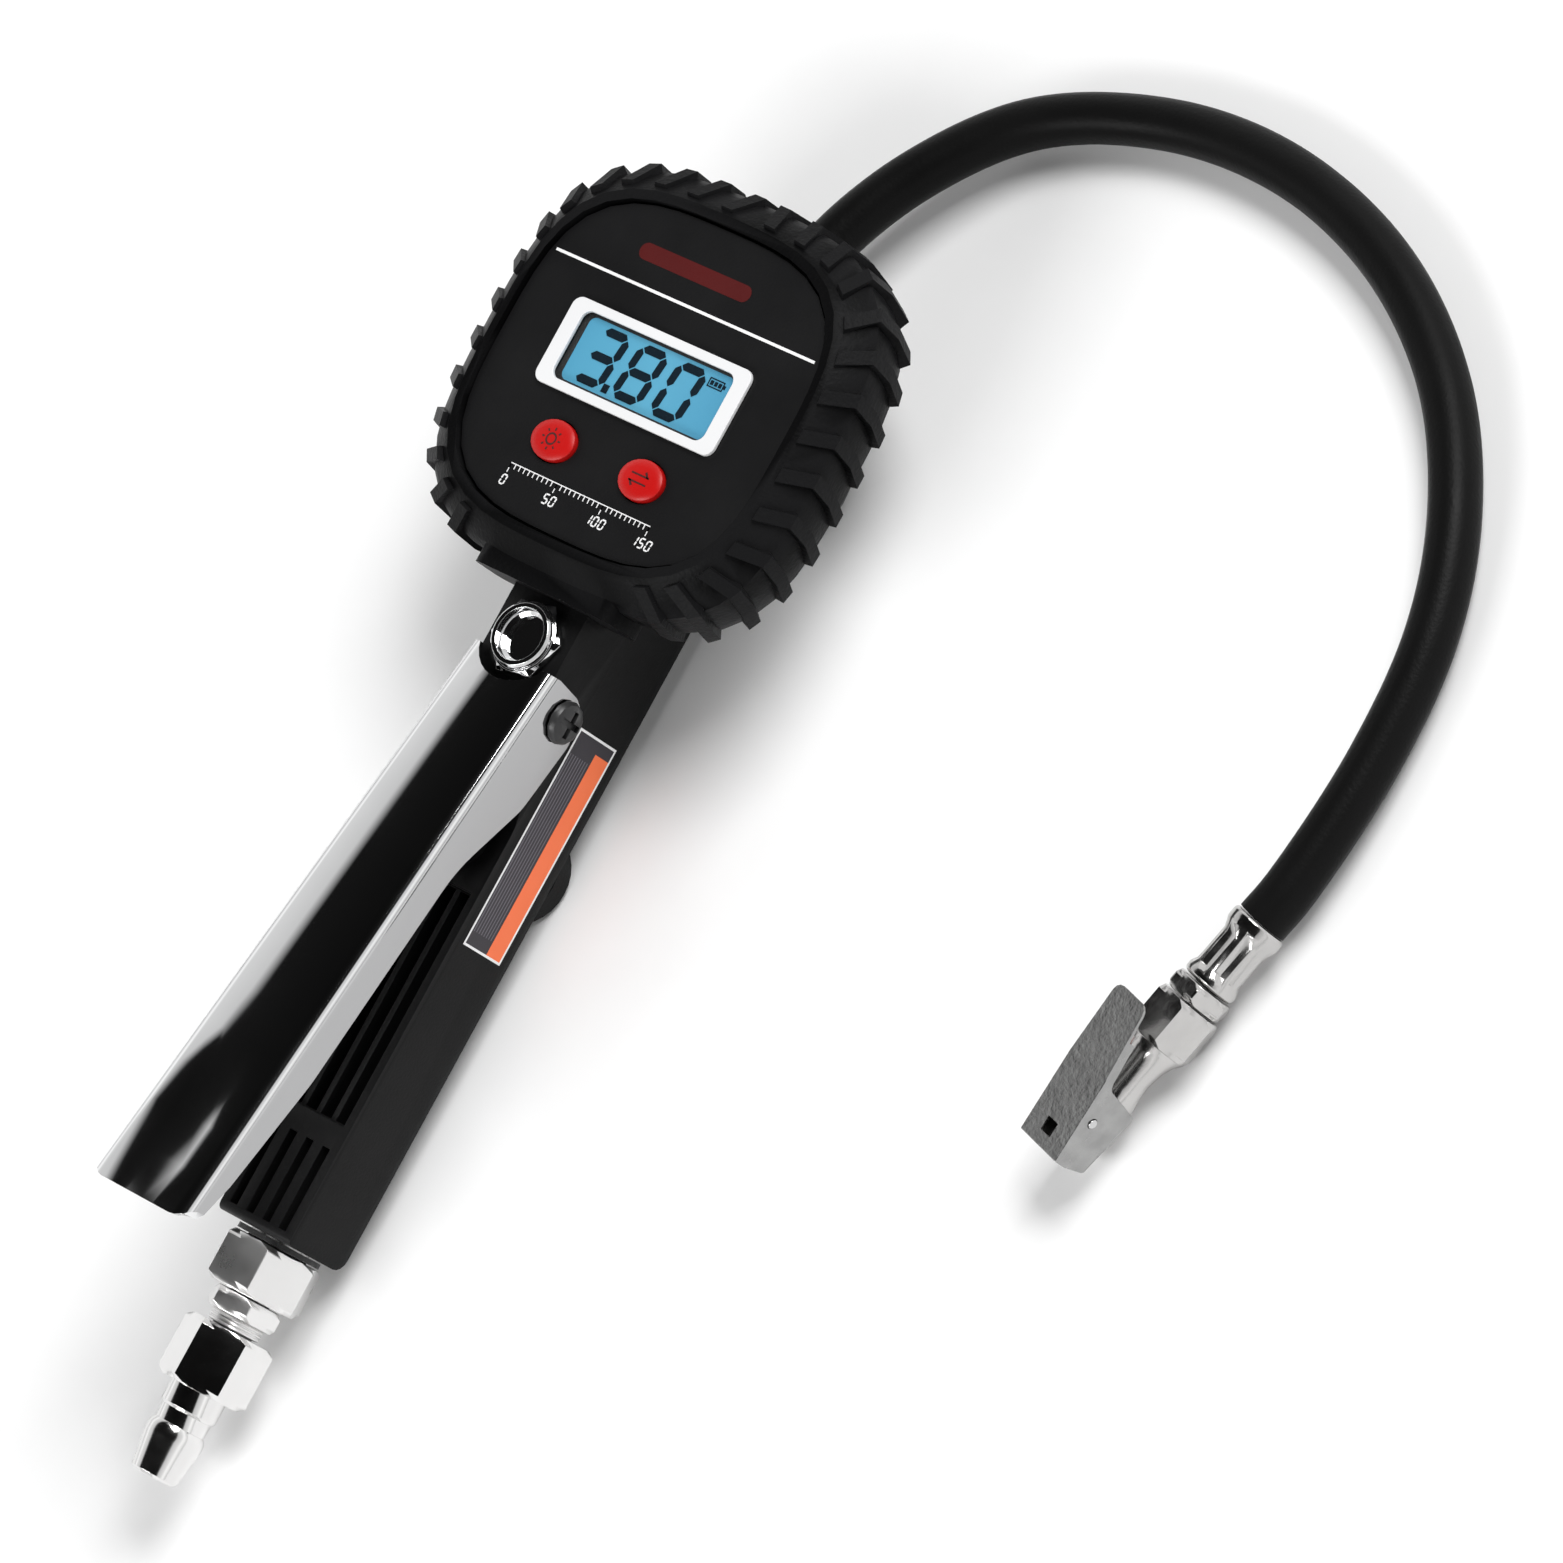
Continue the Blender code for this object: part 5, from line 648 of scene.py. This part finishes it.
def make_display():
    """Frame with a round-cornered window, a dark ring painted on the panel's edge as the frame's shadow, and
    dark figures on the lit panel.
    """
    low, high = LCD_TOP_Z + 0.00003, LCD_TOP_Z + 0.00010
    frame_mesh = ring_mesh("display_frame", rounded(0.0, LCD_Y, *LCD_FRAME_SIZE, 0.0022),
                           rounded(0.0, LCD_Y, *LCD_WINDOW, 0.0021), *LCD_FRAME_Z)
    frame_piece = add_piece("display_frame", frame_mesh, WHITE, "tool")
    soften(frame_piece, 0.00025, angle=40.0)
    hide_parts("lcd_frame")
    # Painted shadow: a dark ring, wider on the left, where the frame's shadow falls on the panel.
    past, radius = 0.0004, 0.0016
    edge_shadow_mesh = ring_mesh("display_gasket",
                            rounded(0.0, LCD_Y, LCD_WINDOW[0] + past, LCD_WINDOW[1] + past, radius),
                            rounded(0.0003, LCD_Y, 0.0394, 0.0139, radius), low, high)
    add_piece("display_gasket", edge_shadow_mesh, DARK, "tool")
    width, height, stroke = 0.0064, 0.0106, 0.0018
    low_y = LCD_Y - height / 2
    outlines = []
    for code, x in (("3", -0.0160), ("8", -0.0055), ("0", 0.0050)):
        outlines += segment_outlines(code, x, low_y, width, height, stroke)
    outlines.append(rectangle(-0.0086, low_y - stroke / 2, -0.0070, low_y + stroke / 2))
    outlines += battery_outlines(0.0140, LCD_Y + 0.0035, 0.0040, 0.0020, 0.00026)
    add_piece("display_figures", plates_mesh("display_figures", outlines, low, high), DIGIT, "tool")


def new_tree(name, inputs):
    """Empty Geometry Nodes tree with named inputs and one geometry output."""
    tree = bpy.data.node_groups.new(name, "GeometryNodeTree")
    for label, kind in inputs:
        tree.interface.new_socket(label, in_out="INPUT", socket_type=kind)
    tree.interface.new_socket("Geometry", in_out="OUTPUT", socket_type="NodeSocketGeometry")
    return tree, tree.nodes.new("NodeGroupInput"), tree.nodes.new("NodeGroupOutput")


def finish_tree(tree, points, shape, entry, leave):
    """Put the shape on every point, turned as asked, as one real mesh with its material."""
    spread = tree.nodes.new("GeometryNodeInstanceOnPoints")
    real = tree.nodes.new("GeometryNodeRealizeInstances")
    paint = tree.nodes.new("GeometryNodeSetMaterial")
    link = tree.links.new
    link(points, spread.inputs["Points"])
    link(shape, spread.inputs["Instance"])
    link(entry.outputs["Turn"], spread.inputs["Rotation"])
    link(spread.outputs["Instances"], real.inputs["Geometry"])
    link(real.outputs["Geometry"], paint.inputs["Geometry"])
    link(entry.outputs["Material"], paint.inputs["Material"])
    link(paint.outputs["Geometry"], leave.inputs["Geometry"])


ROW_INPUTS = [("Count", "NodeSocketInt"), ("Start", "NodeSocketVector"), ("Step", "NodeSocketVector"),
              ("Turn", "NodeSocketRotation"), ("Material", "NodeSocketMaterial")]


def row_points(tree, entry):
    row = tree.nodes.new("GeometryNodeMeshLine")
    tree.links.new(entry.outputs["Count"], row.inputs["Count"])
    tree.links.new(entry.outputs["Start"], row.inputs["Start Location"])
    tree.links.new(entry.outputs["Step"], row.inputs["Offset"])
    return row.outputs["Mesh"]


def make_bar_row():
    """Even row of small bars."""
    tree, entry, leave = new_tree("bar_row", ROW_INPUTS + [("Bar Size", "NodeSocketVector")])
    bar = tree.nodes.new("GeometryNodeMeshCube")
    tree.links.new(entry.outputs["Bar Size"], bar.inputs["Size"])
    finish_tree(tree, row_points(tree, entry), bar.outputs["Mesh"], entry, leave)
    return tree


def make_ring_row():
    """Even row of round-wire rings, such as the crests of a thread."""
    tree, entry, leave = new_tree("ring_row", ROW_INPUTS + [("Ring Radius", "NodeSocketFloat"),
                                                            ("Wire Radius", "NodeSocketFloat")])
    ring = tree.nodes.new("GeometryNodeCurvePrimitiveCircle")
    wire = tree.nodes.new("GeometryNodeCurvePrimitiveCircle")
    sweep = tree.nodes.new("GeometryNodeCurveToMesh")
    ring.inputs["Resolution"].default_value = 48
    wire.inputs["Resolution"].default_value = 8
    link = tree.links.new
    link(entry.outputs["Ring Radius"], ring.inputs["Radius"])
    link(entry.outputs["Wire Radius"], wire.inputs["Radius"])
    link(ring.outputs["Curve"], sweep.inputs["Curve"])
    link(wire.outputs["Curve"], sweep.inputs["Profile Curve"])
    finish_tree(tree, row_points(tree, entry), sweep.outputs["Mesh"], entry, leave)
    return tree


BAR_ROW = make_bar_row()
RING_ROW = make_ring_row()


def add_row(name, tree, body, smooth=False, **values):
    """Run a row tree and keep its result as a plain mesh."""
    maker = bpy.data.objects.new(name + "_maker", bpy.data.meshes.new(name + "_maker"))
    bpy.context.scene.collection.objects.link(maker)
    run = maker.modifiers.new("row", "NODES")
    run.node_group = tree
    for item in tree.interface.items_tree:
        if item.in_out == "INPUT":
            run[item.identifier] = values[item.name.replace(" ", "_").lower()]
    view = bpy.context.evaluated_depsgraph_get()
    mesh = bpy.data.meshes.new_from_object(maker.evaluated_get(view))
    maker.modifiers.remove(run)
    bpy.data.objects.remove(maker, do_unlink=True)
    mesh.name = name
    mesh.polygons.foreach_set("use_smooth", [smooth] * len(mesh.polygons))
    mesh.polygons.foreach_set("material_index", [0] * len(mesh.polygons))
    mesh.materials.clear()
    return add_piece(name, mesh, values["material"], body)


def make_face_print():
    """White line across the face, a plain bar above it and a numbered scale under the buttons."""
    low, high = FACE_TOP_Z - 0.00002, FACE_TOP_Z + 0.00005
    scale_y = GAUGE_Y - 0.0250
    reach = 0.0190
    lines = [
        rectangle(-0.0352, GAUGE_Y + 0.0174, 0.0352, GAUGE_Y + 0.0180),
        rectangle(-reach - 0.0001, scale_y, reach + 0.0001, scale_y + 0.0002),
    ]
    width, height, stroke, pitch = 0.0011, 0.0020, 0.00032, 0.0018
    figure_y = scale_y - 0.0046
    steps = ("0", "50", "100", "150")
    for number, text in enumerate(steps):
        middle = reach * (2 * number / (len(steps) - 1) - 1)
        left = middle - (pitch * (len(text) - 1) + width) / 2
        for index, code in enumerate(text):
            lines += segment_outlines(code, left + pitch * index, figure_y, width, height, stroke)
    add_piece("face_line", plates_mesh("face_line", lines, low, high), PRINT, "tool")
    bar = stadium(-0.0015, GAUGE_Y + 0.0245, 0.0300, 0.0036)
    add_piece("face_bar", plates_mesh("face_bar", [bar], low, high), DULL_RED, "tool")
    half_z = (low + high) / 2
    for name, count, length in (("scale_ticks", 31, 0.0010), ("scale_steps", len(steps), 0.0020)):
        add_row(name, BAR_ROW, "tool", count=count, start=(-reach, scale_y - length / 2, half_z),
                step=(2 * reach / (count - 1), 0.0, 0.0), turn=(0.0, 0.0, 0.0), material=PRINT,
                bar_size=(0.00022, length, high - low))


def make_threads():
    """Thread crests left showing between the inlet's fittings."""
    add_row("nipple_thread", RING_ROW, "tool", True, count=3, start=(0.0, NIPPLE_NECK_Y, AXIS_Z),
            step=(0.0, -0.0008, 0.0), turn=(math.pi / 2, 0.0, 0.0), material=NICKEL_SATIN,
            ring_radius=NIPPLE_NECK_OD / 2, wire_radius=0.00030)


def ring_outlines(x, y, inner, outer, count=20):
    """Flat ring about (x, y), as a run of four-sided plates."""
    outlines = []
    for step in range(count):
        a = 2 * math.pi * step / count
        b = 2 * math.pi * (step + 1) / count
        outlines.append([(x + inner * math.cos(a), y + inner * math.sin(a)),
                         (x + outer * math.cos(a), y + outer * math.sin(a)),
                         (x + outer * math.cos(b), y + outer * math.sin(b)),
                         (x + inner * math.cos(b), y + inner * math.sin(b))])
    return outlines


def make_button_marks():
    """A lamp sign and a change sign, printed on the buttons."""
    low, high = BUTTON_TOP_Z - 0.00002, BUTTON_TOP_Z + 0.00004
    half = 0.00018
    centre = Vector((-BUTTON_X, BUTTON_Y))
    marks = ring_outlines(*centre, 0.00095, 0.00135)
    rays = 8
    for step in range(rays):
        angle = 2 * math.pi * step / rays
        along = Vector((math.cos(angle), math.sin(angle)))
        side = Vector((-along.y, along.x)) * half
        near, far = centre + along * 0.0018, centre + along * 0.0024
        marks.append([tuple(near - side), tuple(far - side), tuple(far + side), tuple(near + side)])
    add_piece("light_mark", plates_mesh("light_mark", marks, low, high), MARK, "light")
    marks = []
    for way in (1, -1):
        bar_y = BUTTON_Y + way * 0.0008
        marks.append(rectangle(BUTTON_X - 0.0023, bar_y - half, BUTTON_X + 0.0023, bar_y + half))
        tip = BUTTON_X + way * 0.0023
        marks.append([(tip, bar_y - way * half), (tip - way * 0.0011, bar_y + way * 0.0011),
                      (tip - way * 0.0015, bar_y + way * 0.0008), (tip - way * 0.0006, bar_y - way * half)])
    add_piece("unit_mark", plates_mesh("unit_mark", marks, low, high), MARK, "unit")


# Floor, light and camera

def make_floor():
    """Wide pale table."""
    mesh = bpy.data.meshes.new("floor")
    mesh.from_pydata([(-4, -4, 0), (4, -4, 0), (4, 4, 0), (-4, 4, 0)], [], [(0, 1, 2, 3)])
    material = surface("floor_pale", (0.83, 0.83, 0.83), (0.86, 0.86, 0.86), (0.55, 0.65), 0.0,
                       (30.0, 0.01), 4.0)
    mesh.materials.append(material)
    floor = bpy.data.objects.new("floor", mesh)
    bpy.context.scene.collection.objects.link(floor)


def area_light(name, place, aim, size, power):
    data = bpy.data.lights.new(name, "AREA")
    data.shape = "RECTANGLE"
    data.size, data.size_y = size
    data.energy = power
    lamp = bpy.data.objects.new(name, data)
    lamp.location = place
    lamp.rotation_euler = (Vector(aim) - Vector(place)).to_track_quat("-Z", "Y").to_euler()
    bpy.context.scene.collection.objects.link(lamp)


def make_light():
    """A studio with a bright band all round and a dim ceiling, with two soft boxes."""
    world = bpy.data.worlds.new("studio")
    bpy.context.scene.world = world
    world.use_nodes = True
    tree = world.node_tree
    place = tree.nodes.new("ShaderNodeTexCoord")
    split = tree.nodes.new("ShaderNodeSeparateXYZ")
    ramp = tree.nodes.new("ShaderNodeValToRGB")
    stops = ramp.color_ramp.elements
    stops[0].position = 0.0
    stops[0].color = (0.38, 0.38, 0.38, 1.0)
    stops[1].position = 1.0
    stops[1].color = (0.002, 0.002, 0.002, 1.0)
    for height, level in ((0.10, 0.50), (0.25, 0.64), (0.40, 0.46), (0.61, 0.38), (0.68, 0.005)):
        stops.new(height).color = (level, level, level, 1.0)
    tree.links.new(place.outputs["Generated"], split.inputs["Vector"])
    tree.links.new(split.outputs["Z"], ramp.inputs["Fac"])
    tree.links.new(ramp.outputs["Color"], tree.nodes["Background"].inputs["Color"])
    tree.nodes["Background"].inputs["Strength"].default_value = 1.9
    area_light("key_box", (0.55, 1.10, 1.30), (0.05, 0.04, 0.0), (1.0, 0.7), 28.0)
    area_light("fill_box", (-0.2, -1.3, 1.2), (0.05, 0.04, 0.0), (1.2, 0.6), 19.0)


def make_camera():
    """Long lens from above and to the right, turned about its own axis."""
    out, lean, distance = math.radians(36.36), math.radians(-3.90), 1.8
    aim = Vector((0.0539, 0.0394, AXIS_Z))
    back = Vector((math.sin(out) * math.cos(lean), math.sin(lean), math.cos(out) * math.cos(lean)))
    along = Vector((0.0, 1.0, 0.0))
    along = (along - back * along.dot(back)).normalized()
    across = (-back).cross(along).normalized()
    roll = math.radians(28.57)
    up = along * math.cos(roll) - across * math.sin(roll)
    right = along * math.sin(roll) + across * math.cos(roll)
    data = bpy.data.cameras.new("camera")
    data.sensor_width = 36.0
    data.lens = 212.29
    data.clip_end = 20.0
    data.dof.use_dof = False
    camera = bpy.data.objects.new("camera", data)
    spot = aim + back * distance
    camera.matrix_world = Matrix((
        (right.x, up.x, back.x, spot.x),
        (right.y, up.y, back.y, spot.y),
        (right.z, up.z, back.z, spot.z),
        (0.0, 0.0, 0.0, 1.0),
    ))
    bpy.context.scene.collection.objects.link(camera)
    bpy.context.scene.camera = camera


finish_nodes()
make_hose()
make_valve_spring()
make_label()
make_display()
make_face_print()
make_threads()
make_button_marks()
make_floor()
make_light()
make_camera()
bpy.context.scene.view_settings.view_transform = "Standard"
